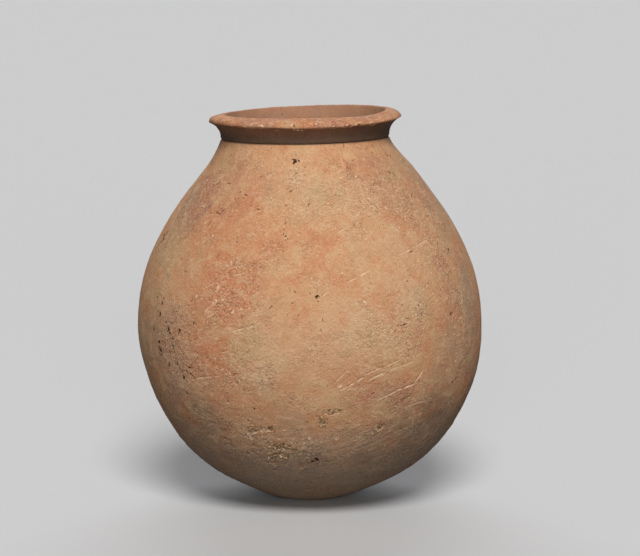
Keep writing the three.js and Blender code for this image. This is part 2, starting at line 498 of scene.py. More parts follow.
def scoop(skin, place, length, height, depth):
    """A stroke of a tool from above: a steep left side, and to the right it dies away as the exp of
    minus the squared distance."""
    part, across, up = skin.round(place, max(length, height) * 2.2)
    bent = across - 0.26 * up + 0.19 * np.maximum(up, 0) + 0.4 * skin.lumps[part]
    ends = smoothstep(-height, -height * 0.85, up) * smoothstep(height, height * 0.5, up)
    steep = smoothstep(-0.8, 0.6, bent) * ends
    skin.depth[part] += depth * steep * np.exp(-((np.maximum(bent, 0) / length) ** 2))
    # Right of the step the lower hollow gets painted shade with a sandier tone, dying away to the right; the
    # pale line along the step's left edge is a painted highlight.
    hollow_shade = steep * smoothstep(length * 1.7, length * 0.7, bent + 2 * skin.lumps[part])
    hollow_shade = hollow_shade * smoothstep(height * 0.4, 0, up)
    skin.lay(part, "painted_shade", 0.7 * hollow_shade)
    skin.lay(part, "sand", 0.5 * hollow_shade)
    skin.lay(part, "chip_and_painted_highlight", 1.1 * np.exp(-(((bent + 0.9) / 0.7) ** 2)) * ends - 0.9)


def cloud(skin, place, length, height, tone, strength):
    """A soft patch of another firing colour, or of painted shade, with a drifting edge."""
    part, across, up = skin.round(place, max(length, height) * 1.9)
    edge = 0.3 * skin.broad[part] + 0.12 * skin.lumps[part]
    distance = np.hypot(across / length, up / height) + edge
    skin.marks[tone][part] += strength * smoothstep(1.6, 0.2, distance)


# Where the clay is coarse in the picture: place, half length and half height, and how much
ROUGH_SEEN = [
    ((196, 210), 30, 40, 0.35), ((175, 345), 30, 44, 0.6), ((225, 300), 40, 36, 0.5),
    ((235, 370), 40, 26, 0.5), ((230, 430), 40, 24, 0.4), ((285, 450), 34, 20, 0.5),
    ((405, 325), 36, 34, 0.5), ((463, 330), 16, 50, 0.5), ((380, 425), 40, 20, 0.3),
    ((395, 200), 40, 30, 0.35), ((165, 240), 16, 30, 0.4), ((435, 250), 26, 40, 0.4),
    ((395, 398), 44, 20, 0.45), ((320, 200), 50, 30, 0.3), ((350, 345), 40, 24, 0.3),
]

# The jar's outer skin, from the edge of the foot up to the seat of the rim

SKIN_DEPTH = 0.45  # the skin lies this far inside the true form, so that its bumps stay inside
RIM_SKIN_DEPTH = 0.35
FOOT_CLEAR = 12  # mm up the section from the foot in which the marks fade away
JOIN_ROUND = 0.9  # depth and reach of the rounding at the rim's join
# How strong the painted shade is in the crease at the rim's join
JOIN_PAINTED_SHADE = 0.75
# Waves of the wall: depth, how much deeper where the clay is rough, length, and seed
WAVES = [(0.42, 0, 70.0, 11), (0.26, 0, 26.0, 12), (0.1, 0.14, 10.0, 13), (0.03, 0.12, 4.6, 14)]
DRAG_HEIGHT = 74
DRAG_REACH = 26


def body_section(stations):
    """The outside with a fuller ring and a leaner one, each an exp of minus the squared height."""
    section = wall_line(stations, 0)
    section[:, 0] += LOW_FULLNESS * np.exp(-(((stations - LOW_FULL_HEIGHT) / LOW_FULL_REACH) ** 2))
    section[:, 0] -= FOOT_LEANNESS * np.exp(-(((stations - FOOT_LEAN_HEIGHT) / FOOT_LEAN_REACH) ** 2))
    return section


def band_ends():
    """Outer joint heights from the bowl's edge to the seat."""
    band = (SEAT_HEIGHT - BOWL_HEIGHT) / len(BAND_NAMES)
    joints = [BOWL_HEIGHT + band * i for i in range(len(BAND_NAMES))]
    return joints, [lap_ends(z)[0] for z in joints] + [SEAT_HEIGHT]


JOINTS, OUTER_ENDS = band_ends()


def stations_between(low, high, step, crowding=0.0):
    """Heights from low to high, a step apart along the outside; a crowding over 0 spreads the lower
    ones and draws the upper ones together."""
    fine = np.linspace(low, high, MEASURING_POINTS)
    way = along_section(wall_line(fine, 0))
    share = np.linspace(0, 1, max(4, int(round(way[-1] / step))) + 1)
    share = (1 + crowding) * share - crowding * share**2
    return np.interp(share * way[-1], way, fine)


def body_stations():
    """All rows of the outer skin, and the row at which each piece starts and ends."""
    rows = [stations_between(0, OUTER_ENDS[0], BOWL_ROW_STEP, BOWL_CROWDING)]
    ends = [0, len(rows[0]) - 1]
    for low, high in zip(OUTER_ENDS[:-1], OUTER_ENDS[1:]):
        band = stations_between(low, high, ROW_STEP)
        rows.append(band[1:])
        ends.append(ends[-1] + len(band) - 1)
    return np.concatenate(rows), ends


STATIONS, ROW_ENDS = body_stations()
body = Skin(body_section(STATIONS))
body.broad = unevenness(body.form, 30.0, 63)
HEIGHTS = STATIONS[:, None] + 0 * TURNS


def uneven_wall(skin):
    """Waves from 70 down to 4 mm long that the paddle and the wiping hand left, coarser where the clay
    is rough, thin creases where a noise crosses zero, and drag lines that rise to the right low down."""
    rough = skin.marks["rough"]
    x = skin.form[..., 0]
    climb = 0.16 * (np.sqrt((x - 20) ** 2 + 900) + x - 20)
    flat = skin.form * np.array([0.16, 0.16, 1.0])
    slanted = flat - climb[..., None] * np.array([0, 0, 1.0])
    waves = np.zeros(skin.depth.shape)
    for amount, rougher, size, seed in WAVES:
        waves += (amount + rougher * rough) * unevenness(skin.form, size, seed)
    crease = np.exp(-((unevenness(skin.form, 8.0, 16) / 0.08) ** 2))
    waves += 0.18 * crease * rough
    drag = 0.3 + 1.3 * np.exp(-(((HEIGHTS - DRAG_HEIGHT) / DRAG_REACH) ** 2))
    waves += 0.1 * drag * unevenness(slanted, 3.0, 15)
    return SKIN_DEPTH + waves


body.marks["rough"] = 0.12 + 0.5 * smoothstep(0.1, 0.7, unevenness(body.form, 24.0, 66))
for centre, length, height, strength in ROUGH_SEEN:
    cloud(body, body.seen_at(*centre), length, height, "rough", strength)
body.marks["rough"] = np.minimum(body.marks["rough"], 1)
body.depth += uneven_wall(body)

# Marks that the picture shows, as column and row in its 640 by 556 frame, then sizes in mm

# Scratches: both ends, width, depth, and how strongly they show
SCRATCHES_SEEN = [
    ((231, 333), (257, 325), 0.7, 0.35, 1.0), ((192, 381), (231, 373), 0.65, 0.3, 0.9),
    ((336, 383), (348, 370), 0.6, 0.25, 0.7), ((340, 392), (366, 375), 0.7, 0.4, 0.9),
    ((364, 376), (400, 359), 0.65, 0.3, 0.8), ((367, 381), (389, 371), 0.6, 0.3, 0.9),
    ((386, 372), (416, 361), 0.6, 0.25, 0.6), ((377, 400), (398, 390), 0.75, 0.55, 1.0),
    ((396, 391), (416, 383), 0.8, 0.6, 1.0), ((414, 384), (424, 369), 0.7, 0.4, 0.7),
    ((404, 407), (428, 399), 0.6, 0.3, 0.7), ((399, 255), (413, 248), 0.6, 0.3, 0.9),
    ((412, 249), (430, 237), 0.6, 0.3, 0.8), ((334, 235), (348, 226), 0.6, 0.25, 0.8),
    ((360, 276), (370, 270), 0.7, 0.5, 0.9), ((346, 283), (358, 276), 0.55, 0.2, 0.6),
    ((389, 223), (401, 232), 0.5, 0.2, 0.7), ((422, 291), (428, 284), 0.7, 0.5, 0.5),
    ((319, 299), (328, 292), 0.6, 0.4, 0.8), ((206, 287), (222, 281), 0.5, 0.25, 0.6),
    ((231, 276), (243, 272), 0.5, 0.2, 0.6), ((218, 169), (229, 165), 0.6, 0.4, 0.7),
    ((330, 416), (346, 410), 0.5, 0.3, 0.5), ((245, 330), (262, 321), 0.5, 0.2, 0.5),
]
# Black specks, brown pits and pale grains: column, row and radius
BLACK_SEEN = [
    (161.7, 303.5, 1.3), (160, 314.5, 1.6), (153, 328.5, 1.2), (168, 329, 1.6), (169.5, 333, 1.2),
    (179.5, 330, 1.4), (158.8, 341.5, 1.7), (158.5, 347, 1.3), (160.5, 350.5, 1.9), (172, 338.5, 1.1),
    (172.3, 346.5, 1.4), (169.5, 352, 1.0), (168.8, 364, 1.4), (176.7, 364, 1.1), (165.5, 360.5, 0.9),
    (183.7, 378, 1.5), (188.8, 367.5, 1.2), (190.5, 374, 1.0), (182.5, 371.5, 0.9), (193.8, 322.8, 1.1),
    (172.3, 312, 1.0), (157, 297.5, 1.0), (186.8, 392.5, 1.0), (167.0, 232, 1.5), (164.2, 234.8, 1.7),
    (163.5, 238.6, 1.5), (160.8, 242.3, 1.1), (312.6, 461.8, 1.7), (317.0, 460.0, 2.0),
    (295.0, 161.6, 1.9), (294.2, 159.4, 1.0), (298.6, 160.4, 1.0), (317.0, 297.0, 1.5), (285.8, 236.4, 1.0),
    (449.0, 249.0, 1.1), (451.8, 313.8, 1.3), (452.8, 382, 1.1), (460, 408.6, 1.3),
    (404.2, 324.8, 1.0), (407.8, 337, 0.9), (254.5, 409, 0.9), (431, 402.5, 0.9),
    (154, 298, 0.7), (163, 298.5, 0.7), (176, 322, 0.7), (165, 345, 0.9), (174, 352, 0.8),
    (160.5, 355, 1.0), (155, 350, 0.8), (186, 371, 0.8), (179, 368, 0.7), (194, 377, 0.7),
]
PITS_SEEN = [
    (283, 444.6, 1.3), (290, 447, 1.1), (248, 454, 1.5), (242, 456, 1.0), (296.5, 482, 1.2),
    (309, 486.6, 1.0), (306, 470.5, 1.1), (341, 468, 1.0), (327, 461, 0.9), (187.5, 412.7, 1.0),
    (401.5, 429, 1.1), (205.8, 181, 1.0), (234.8, 198.6, 1.1), (222, 211, 1.1), (216.8, 213, 1.2),
    (191, 257, 0.9), (186, 241.5, 1.0), (290, 170, 0.9), (254, 263, 0.9), (236.7, 241.5, 1.1),
    (380.8, 185.5, 1.0), (374, 192, 0.9), (412.2, 196.8, 1.1), (424.7, 206.8, 1.0), (390.5, 172.3, 1.1),
    (441, 290, 1.0), (419.5, 305.8, 1.0), (421, 321.5, 1.1), (395, 331, 1.1), (409, 355.5, 1.0),
]
CRUMBS_SEEN = [
    (339.8, 386.5, 1.4), (365.2, 301.4, 1.1), (408, 336, 1.1), (433.5, 294, 1.0), (216, 300, 1.1),
    (218, 287, 1.5), (223, 300, 1.0), (196.5, 296, 1.0), (205, 222, 1.0), (178, 237, 1.0),
    (369.7, 198.3, 1.0), (383.6, 178.5, 1.1), (185.8, 213.8, 1.1), (239, 381, 1.1), (259, 389, 1.0),
    (341, 177, 1.0), (296, 168, 1.0), (417.5, 183, 1.0), (428, 218, 1.1), (461.5, 318, 1.1),
    (447.5, 370, 1.0), (325, 451, 0.9), (310, 440, 1.0), (150.6, 351.6, 1.0), (150, 364, 1.0),
    (212.5, 235.5, 1.1), (232.5, 312, 1.2), (397, 190, 1.0), (411, 200, 1.0),
]
# Bright flecks, most of them at the edges of the spalls: place, half length, half width, angle
FLECKS_SEEN = [
    ((251, 437), 3.4, 1.3, -30), ((247.5, 434), 2.2, 1.0, 60), ((255, 433), 2.6, 0.9, 20),
    ((262, 432.5), 2.6, 0.9, 5), ((268, 431.5), 2.2, 0.7, 25), ((252, 440), 2.0, 0.8, 0),
    ((270, 464), 3.4, 1.2, -25), ((275, 466), 2.6, 1.0, 30), ((272, 461.5), 2.4, 0.9, 60),
    ((268, 460.5), 2.2, 0.9, 40), ((281, 456.5), 2.4, 1.0, 15), ((290, 453), 2.0, 0.8, 0),
    ((284, 459), 2.0, 0.8, -30), ((376, 427), 1.7, 0.8, 45), ((378, 431.5), 1.8, 0.8, 20),
    ((373, 433), 2.2, 0.8, -10), ((331, 412), 1.8, 0.8, 0), ((338, 414.5), 2.0, 0.8, 30),
    ((322, 423), 1.6, 0.8, 60), ((284.5, 431), 1.8, 0.8, 0), ((309, 439), 1.5, 0.9, 0),
    ((336.5, 440), 2.6, 0.9, -40), ((206, 310.5), 2.0, 0.7, 60), ((210, 316), 2.2, 0.7, 0),
]
# Patches of grains and of pits: place, length, height, and how many there are
CRUMB_PATCHES_SEEN = [
    ((464, 335), 14, 36, 50), ((431, 217), 8, 7, 16), ((228, 380), 40, 24, 24), ((222, 300), 30, 26, 24),
    ((170, 350), 22, 30, 12), ((400, 330), 30, 24, 20), ((300, 440), 60, 16, 24), ((205, 180), 8, 8, 12),
    ((380, 200), 44, 26, 22), ((452, 300), 14, 26, 20), ((250, 436), 18, 10, 10), ((207, 205), 8, 8, 10),
]
PIT_PATCHES_SEEN = [
    ((207, 179), 7, 8, 16), ((207, 205), 6, 8, 14), ((219, 211), 9, 6, 14), ((172, 342), 22, 34, 80),
    ((184, 374), 12, 12, 24), ((164, 237), 7, 12, 16), ((227, 426), 9, 7, 14), ((323, 420), 6, 12, 12),
    ((292, 180), 8, 10, 6), ((250, 170), 10, 6, 5), ((232, 384), 10, 6, 8), ((470, 310), 8, 40, 20),
]
# Pale flakes: place, half length, half width, and the angle that they rise to the right
CHIPS_SEEN = [
    ((206, 312.5), 3.8, 1.3, 60), ((210.6, 313), 3.6, 1.1, -55), ((208, 316), 4.4, 1.1, 5),
    ((208, 314), 2.4, 1.2, 20), ((207.5, 309), 2.2, 1, 80), ((213, 304.5), 5, 1.2, 45),
    ((218, 287.5), 3, 2.2, 80), ((222.3, 299.8), 2.2, 1.4, 20), ((196, 296), 2.8, 1, 60),
    ((203.7, 322), 2.4, 1.1, 90), ((207, 321.5), 2.4, 0.9, 90), ((216.5, 368), 2.6, 1.4, -20),
    ((206, 384), 3, 2, 20), ((194, 312.5), 2.8, 0.9, 30), ((179, 338), 2, 2.2, 80),
    ((256.4, 364.8), 3.2, 2, 20), ((248, 360.6), 2.4, 1.2, -30), ((250.8, 346.6), 4, 1, 15),
    ((263.4, 363.4), 2.5, 1.4, 40), ((222.8, 353.6), 2.4, 1.2, 0), ((207.4, 366), 4.2, 0.9, -45),
    ((424, 216), 2.2, 1.3, 30), ((428, 219), 2.6, 1.6, -20), ((433, 214), 2.2, 1.3, 40),
    ((430, 223), 2.2, 1.1, 10), ((436, 219), 1.8, 1.3, 60), ((413.5, 293.5), 2.2, 1.3, 20),
    ((416.5, 295), 1.7, 1.1, 0), ((431, 293.7), 1.4, 1.1, 0), ((461.8, 318), 1.8, 1.3, 30),
    ((407, 274), 2.2, 1, 10), ((396.5, 229), 3.4, 0.9, -38), ((352, 386), 2.2, 1.1, 40),
    ((355.5, 389), 2.2, 1, 30), ((349.5, 383.5), 1.8, 1, 60), ((329, 416.5), 4, 1, 8),
    ((380, 431), 2.4, 1.3, 30), ((337.5, 439), 2.8, 0.9, -40), ((396.6, 444.5), 1.6, 1, 20),
    ((364, 159), 2.6, 1.7, 20), ((342, 161), 5, 0.9, 82), ((389, 169), 2, 0.9, -40),
    ((379.5, 179), 2, 1, -30), ((292, 181), 5, 0.8, -60), ((288, 178), 4, 0.7, -60),
    ((272, 285), 2.5, 1.2, 20), ((262, 300), 2, 1.2, 50), ((309, 439), 1.4, 1, 0),
    ((286.5, 430.5), 1.8, 1.1, 20), ((272, 464.5), 3.4, 1.2, -25), ((283, 455.5), 2.4, 1.1, -10),
    ((280.5, 461), 2, 1, 20), ((250, 436.5), 4, 1.2, -25), ((265, 432.5), 4.4, 1.2, 12),
    ((253, 438.5), 2.6, 1, -20), ((395, 186), 2, 1.2, 30), ((404, 352), 2, 1.1, 20),
]
# Short dark cuts: place, half length, half width, and the angle that they rise to the right
NICKS_SEEN = [
    ((222, 168.2), 5.2, 0.7, 22), ((411.4, 251.4), 2.4, 1.5, 10), ((448.8, 249.3), 2.6, 0.9, 60),
    ((464.5, 259.6), 1.5, 0.9, 90), ((421.7, 264.5), 1.8, 0.8, 90), ((407.6, 280.7), 1.6, 1.2, 0),
    ((426, 286), 3, 0.7, 50), ((402, 304.6), 1.3, 1.1, 0), ((419.5, 305.6), 2.2, 1, -60),
    ((421.7, 313.8), 1.4, 1, 90), ((406, 324), 1.9, 1.3, 0), ((452, 313.8), 2.4, 1.3, 100),
    ((477, 317.5), 1.5, 0.9, 90), ((222.5, 204.8), 2.8, 0.8, 32), ((217.5, 212.8), 3, 1.6, -20),
    ((228.6, 182.7), 1.8, 1.4, 0), ((245.4, 194.8), 2.4, 1.7, -30), ((290.6, 191), 2.8, 1.5, 10),
    ((216, 191.6), 2.2, 1.1, 80), ((240, 191.8), 2, 1.5, 20), ((258, 209.4), 2.4, 1.4, -20),
    ((251, 206), 1.4, 1, 0), ((235, 198.4), 1.1, 0.9, 0), ((389.7, 172.3), 2.2, 1.3, -50),
    ((379.8, 173.8), 1.3, 1, 0), ((380, 182.8), 1.5, 1.1, 60), ((363, 185.5), 1.5, 1.1, 0),
    ((353, 159.5), 3, 0.7, 5), ((252, 437), 1.6, 1.2, 0), ((257, 430.5), 3.2, 1, 25),
    ((247.8, 453.3), 1.8, 1.3, 90), ((378.5, 427.8), 2.6, 1.6, 20), ((373, 394), 1.6, 1.1, 0),
    ((247, 352), 1.4, 0.9, 40), ((192, 300), 2.6, 0.8, 70), ((188, 336), 2.2, 0.8, 50),
    ((344, 146), 3, 0.9, 80),
]
# Spalls: place, half length, half height, depth, and how far they rise to the right
SPALLS_SEEN = [
    ((254, 431), 9, 4.4, 1.1, 0.1), ((266, 429), 9, 3.0, 0.9, 0.15), ((250, 437), 5, 2.6, 0.9, -0.2),
    ((284, 448), 14, 6, 1.3, -0.15), ((279, 456), 12, 6, 1.2, 0.1), ((271, 463), 6, 3, 0.9, -0.2),
    ((332, 412), 9, 3.5, 0.9, 0.05), ((322, 423), 4, 5, 0.7, 0.0), ((379, 427), 6, 5.5, 1.0, 0.4),
    ((375, 433), 5, 3, 0.8, 0.2), ((408, 396), 6, 3, 0.5, 0.3),
]
# Patches of each firing colour, and patches of painted shade: place, half length, half height and strength
CLOUDS_SEEN = {
    "blush": [
        ((215, 330), 44, 66, 0.9), ((206, 215), 36, 40, 0.5), ((228, 250), 40, 40, 0.45),
        ((240, 300), 36, 60, 0.35), ((318, 236), 24, 18, 0.5), ((290, 385), 60, 30, 0.45),
        ((400, 388), 36, 16, 0.5), ((360, 385), 30, 24, 0.4), ((210, 325), 16, 20, 0.5),
        ((335, 270), 18, 16, 0.45), ((360, 312), 18, 14, 0.5), ((390, 330), 16, 12, 0.45),
        ((242, 202), 18, 18, 0.3),
    ],
    "rose": [
        ((236, 166), 14, 14, 0.7), ((372, 160), 14, 8, 0.4), ((395, 195), 30, 30, 0.4),
        ((452, 290), 12, 16, 0.5), ((196, 208), 20, 34, 0.8), ((207, 178), 8, 8, 0.9),
        ((208, 206), 7, 8, 0.9), ((222, 213), 9, 6, 0.6), ((227, 427), 8, 7, 0.7),
        ((385, 395), 30, 14, 0.5), ((365, 165), 14, 12, 0.2), ((168, 364), 8, 10, 0.4),
        ((206, 384), 6, 4, 0.8), ((440, 262), 9, 6, 0.6), ((210, 332), 12, 10, 0.4),
        ((250, 190), 40, 24, 0.25),
    ],
    "cream_and_painted_light": [
        ((300, 168), 40, 20, 0.4), ((330, 195), 40, 26, 0.5), ((395, 250), 50, 60, 0.4),
        ((385, 330), 40, 36, 0.45), ((412, 300), 20, 20, 0.5), ((330, 320), 60, 50, 0.3),
        ((247, 388), 20, 14, 0.6), ((262, 360), 22, 26, 0.4), ((165, 270), 18, 30, 0.5),
        ((270, 368), 32, 22, 0.35), ((315, 398), 34, 24, 0.4), ((242, 330), 16, 16, 0.4),
        ((335, 330), 24, 20, 0.35),
    ],
    "sand": [
        ((330, 196), 26, 12, 0.6), ((245, 345), 16, 18, 0.5), ((170, 250), 26, 40, 0.35),
        ((150, 320), 24, 50, 0.3), ((260, 445), 50, 14, 0.4),
    ],
    "mauve": [
        ((166, 345), 34, 40, 0.6), ((180, 388), 30, 22, 0.4), ((450, 350), 26, 30, 0.4),
        ((200, 180), 12, 14, 0.6), ((190, 200), 10, 20, 0.5),
    ],
    # Grey patches on the right flank and low on the right: painted shade
    "ash_and_painted_shade": [
        ((425, 190), 36, 40, 0.4), ((470, 300), 18, 60, 0.6), ((455, 225), 22, 60, 0.5),
        ((430, 430), 60, 40, 0.3),
    ],
    # Painted shade on the lower sides and bottom, the flanks, the left shoulder and beside the tool's stroke
    "painted_shade": [
        ((207, 425), 28, 26, 0.4), ((190, 400), 22, 18, 0.3), ((240, 458), 40, 12, 0.3),
        ((405, 432), 50, 20, 0.4), ((440, 392), 22, 26, 0.4), ((425, 412), 34, 14, 0.4),
        ((372, 455), 50, 14, 0.4), ((330, 460), 50, 12, 0.3), ((395, 175), 22, 12, 0.25),
        ((440, 210), 30, 60, 0.25), ((200, 200), 24, 28, 0.3), ((152, 343), 30, 34, 0.3),
    ],
}
# The tool's stroke under the neck: place, length, half height and depth
SCOOP_SEEN = ((346.5, 163.5), 8, 19, 2.3)

# Painted shade and painted light low on the body: each pair is the heights where one starts and where it is
# full
LOW_SHADE_HEIGHTS = (125, 45)
LOW_SHADE_DRIFT = 14
LOW_SHADE_STRENGTH = 0.9
LOW_SHADE_THINNING_HEIGHTS = (45, 8)  # here the painted shade thins towards the foot
LOW_SHADE_THINNING_SHARE = 0.2
# The foot painted paler: painted light where the floor's bounce doesn't reach
PAINTED_LIGHT_FOOT_HEIGHTS = (34, 8)
PAINTED_LIGHT_FOOT_STRENGTH = 0.5
# Painted shade low on the sides and the back
SIDE_SHADE_HEIGHTS = (135, 85)
SIDE_SHADE_DRIFT = 16
SIDE_SHADE_ENDS = (14, 45)
SIDE_SHADE_TURNS = (0.3, 1.1)
SIDE_SHADE_STRENGTH = 0.42


def crumb_in_patch(skin, place):
    """One grain of a patch of grit."""
    crumb(skin, place, random.uniform(0.45, 0.9))


def pit_in_patch(skin, place):
    """One hole of a patch of pits."""
    radius, stretch, degrees = draws((0.35, 0.75), (1, 2.4), (20, 160))
    pit(skin, place, radius, SMALL_PIT_DEPTH, stretch, degrees)


def tint_low_down(skin):
    """Painted shade that turns the body greyer and darker towards the bottom, thinner near the foot, and
    painted light on the foot, in front; more painted shade low on the sides and the back; each fades over its
    heights.
    """
    low_down = smoothstep(*LOW_SHADE_HEIGHTS, HEIGHTS + LOW_SHADE_DRIFT * skin.broad)
    low_down = low_down - LOW_SHADE_THINNING_SHARE * smoothstep(*LOW_SHADE_THINNING_HEIGHTS, HEIGHTS)
    skin.marks["ash_and_painted_shade"] += LOW_SHADE_STRENGTH * low_down
    skin.marks["cream_and_painted_light"] += PAINTED_LIGHT_FOOT_STRENGTH * smoothstep(*PAINTED_LIGHT_FOOT_HEIGHTS, HEIGHTS)
    side_shade = smoothstep(*SIDE_SHADE_HEIGHTS, HEIGHTS + SIDE_SHADE_DRIFT * skin.broad) * smoothstep(*SIDE_SHADE_ENDS, HEIGHTS)
    away_from_front = smoothstep(*SIDE_SHADE_TURNS, np.abs(TURNS_SIGNED))
    skin.marks["painted_shade"] += SIDE_SHADE_STRENGTH * side_shade * away_from_front


def mark_front(skin):
    """Puts every mark that the picture shows on the skin."""
    for start, end, *look in SCRATCHES_SEEN:
        scratch(skin, skin.seen_at(*start), skin.seen_at(*end), *look)
    for column, row, radius in BLACK_SEEN:
        black_speck(skin, skin.seen_at(column, row), radius)
    for column, row, radius in PITS_SEEN:
        pit(skin, skin.seen_at(column, row), radius, SEEN_PIT_DEPTH)
    for column, row, radius in CRUMBS_SEEN:
        crumb(skin, skin.seen_at(column, row), radius)
    for patches, make in ((CRUMB_PATCHES_SEEN, crumb_in_patch), (PIT_PATCHES_SEEN, pit_in_patch)):
        for centre, length, height, count in patches:
            for _ in range(count):
                offset = random.normal(size=2) * (length / 2, height / 2)
                make(skin, skin.seen_at(centre[0] + offset[0], centre[1] + offset[1]))
    for centre, *look in CHIPS_SEEN:
        chip_and_painted_highlight(skin, skin.seen_at(*centre), *look)
    for centre, length, width, degrees in NICKS_SEEN:
        nick(skin, skin.seen_at(*centre), length, SEEN_CUT_WIDTH * width, degrees, SEEN_CUT_DEPTH)
    for centre, *look in SPALLS_SEEN:
        spall(skin, skin.seen_at(*centre), *look)
    for centre, length, width, degrees in FLECKS_SEEN:
        chip_and_painted_highlight(skin, skin.seen_at(*centre), length, FLECK_WIDTH * width, degrees, FLECK_HEIGHT, "crumb")
    for tone, patches in CLOUDS_SEEN.items():
        for centre, length, height, strength in patches:
            cloud(skin, skin.seen_at(*centre), length, height, tone, strength)
    tint_low_down(skin)
    centre, *size = SCOOP_SEEN
    scoop(skin, skin.seen_at(*centre), *size)


# Marks scattered all round: how many of each kind, and where they may lie, in mm up the section
PIT_COUNT = 900
GRAIN_COUNT = 1100
FLAKE_COUNT = 520
CUT_COUNT = 420
SCRATCH_COUNT = 30  # of this kind and the next ones only those that fall behind are made
SPECK_COUNT = 80
SPALL_COUNT = 26
CLOUD_ROUNDS = 6
LOWEST_SMALL = 20
LOWEST_LARGE = 60
LOWEST_SCRATCH = 90
HIGHEST_SPALL = 150
SHOWN_TURN = 1.3  # radians each way from the front that the picture shows


def scatter(skin, count, low, high):
    """Random places all round the skin between two ways up its section."""
    turns = random.uniform(-np.pi, np.pi, count)
    ways = random.uniform(low, high, count)
    return [skin.at(turn, way) for turn, way in zip(turns, ways)]


def behind(place):
    """True for a place on the sides or the back, which the picture doesn't show."""
    return abs(turn_between(0.0, TURNS[place[1]])) > SHOWN_TURN


def mark_all_round(skin):
    """Seeded marks of the same kinds: small pits and grains everywhere, larger marks behind."""
    top = skin.way[-1]
    for place in scatter(skin, PIT_COUNT, LOWEST_SMALL, top - 4):
        pit(skin, place, *draws((0.3, 0.7), (0.15, 0.5), (1, 3), (0, 180)))
    for place in scatter(skin, GRAIN_COUNT, LOWEST_SMALL, top - 4):
        crumb(skin, place, *draws((0.3, 0.7)))
    for place in scatter(skin, FLAKE_COUNT, LOWEST_SMALL, top - 6):
        length, width, degrees = draws((1.2, 3.6), (0.6, 1.4), (-50, 80))
        chip_and_painted_highlight(skin, place, length * (0.4 + skin.marks["rough"][place]), width, degrees)
    for place in scatter(skin, CUT_COUNT, LOWEST_SMALL, top - 6):
        nick(skin, place, *draws((1.0, 2.8), (0.4, 0.9), (-40, 90), (0.2, 0.45)))
    for place in filter(behind, scatter(skin, SCRATCH_COUNT, LOWEST_SCRATCH, top - 20)):
        lift, turn, *look = draws((-12, 22), (0.08, 0.24), (0.5, 0.8), (0.2, 0.5), (0.5, 1))
        end = skin.at(TURNS[place[1]] + turn, skin.way[place[0]] + lift)
        scratch(skin, place, end, *look)
    for place in filter(behind, scatter(skin, SPECK_COUNT, LOWEST_LARGE, top - 20)):
        black_speck(skin, place, *draws((0.8, 1.8)))
    for place in filter(behind, scatter(skin, SPALL_COUNT, LOWEST_LARGE, HIGHEST_SPALL)):
        size, flatness, depth, slant = draws((4, 11), (0.4, 0.7), (0.7, 1.4), (-0.2, 0.4))
        spall(skin, place, size, size * flatness, depth, slant)
    for tone in ["blush", "cream_and_painted_light", "ash_and_painted_shade", "rose", "mauve", "sand"] * CLOUD_ROUNDS:
        for place in filter(behind, scatter(skin, 1, LOWEST_LARGE, top - 30)):
            length, height, strength = draws((30, 70), (25, 60), (0.3, 0.65))
            cloud(skin, place, length, height, tone, strength)


mark_front(body)
mark_all_round(body)


def join_edge(skin, from_join):
    """Rounds off the edge beside the rim's join and paints shade into it; both die away over about a
    millimetre.
    """
    near = np.exp(-((from_join / JOIN_ROUND) ** 2))[:, None]
    skin.depth += JOIN_ROUND * near
    skin.marks["painted_shade_under_lip"] = np.maximum(skin.marks["painted_shade_under_lip"], JOIN_PAINTED_SHADE * near)


join_edge(body, body.way[-1] - body.way)
# The foot touches the ground on its flat, so nothing is pressed in there.
body.depth *= smoothstep(0, FOOT_CLEAR, body.way)[:, None]
body.depth = np.maximum(body.depth, 0)


# The rim's skin, from its outer foot over the lip and the crest down the throat

UNDERSIDE_POINTS = 60  # of the drawn curves, before the rows are spread evenly
LIP_POINTS = 40


def rim_section():
    """Underside r = mouth + reach share^flare, a sharp nose, a quarter ellipse up to the crest, a small
    round over the inner edge, and the throat down to the seat."""
    seat = SEAT_HEIGHT + SLIP_GAP
    widest = RIM_HEIGHT - LIP_DROP
    edge = widest - SEEN_NOSE
    crest = SEAT_HEIGHT + RIM_HEIGHT
    crest_radius = MOUTH_RADIUS + LIP_REACH - CREST_INSET
    share = np.linspace(0, 1, UNDERSIDE_POINTS)
    turn = np.linspace(0, np.pi / 2, LIP_POINTS)[1:]
    reach = LIP_REACH - SEEN_NOSE_INSET
    under = np.stack([MOUTH_RADIUS + reach * share**SEEN_FLARE, seat + (edge - SLIP_GAP) * share], 1)
    nose = under[-1] + np.stack([SEEN_NOSE_INSET * np.sin(turn), SEEN_NOSE * (1 - np.cos(turn))], 1)
    lip = np.stack([crest_radius + CREST_INSET * np.cos(turn), crest - LIP_DROP * (1 - np.sin(turn))], 1)
    inner = np.stack([crest_radius - CREST_EDGE * np.sin(turn), crest - CREST_EDGE * (1 - np.cos(turn))], 1)
    height = np.linspace(RIM_HEIGHT - CREST_EDGE, SLIP_GAP, LIP_POINTS)[1:]
    throat = np.stack([throat_radius(height), SEAT_HEIGHT + height], 1)
    return np.concatenate([under, nose, lip, inner, throat])


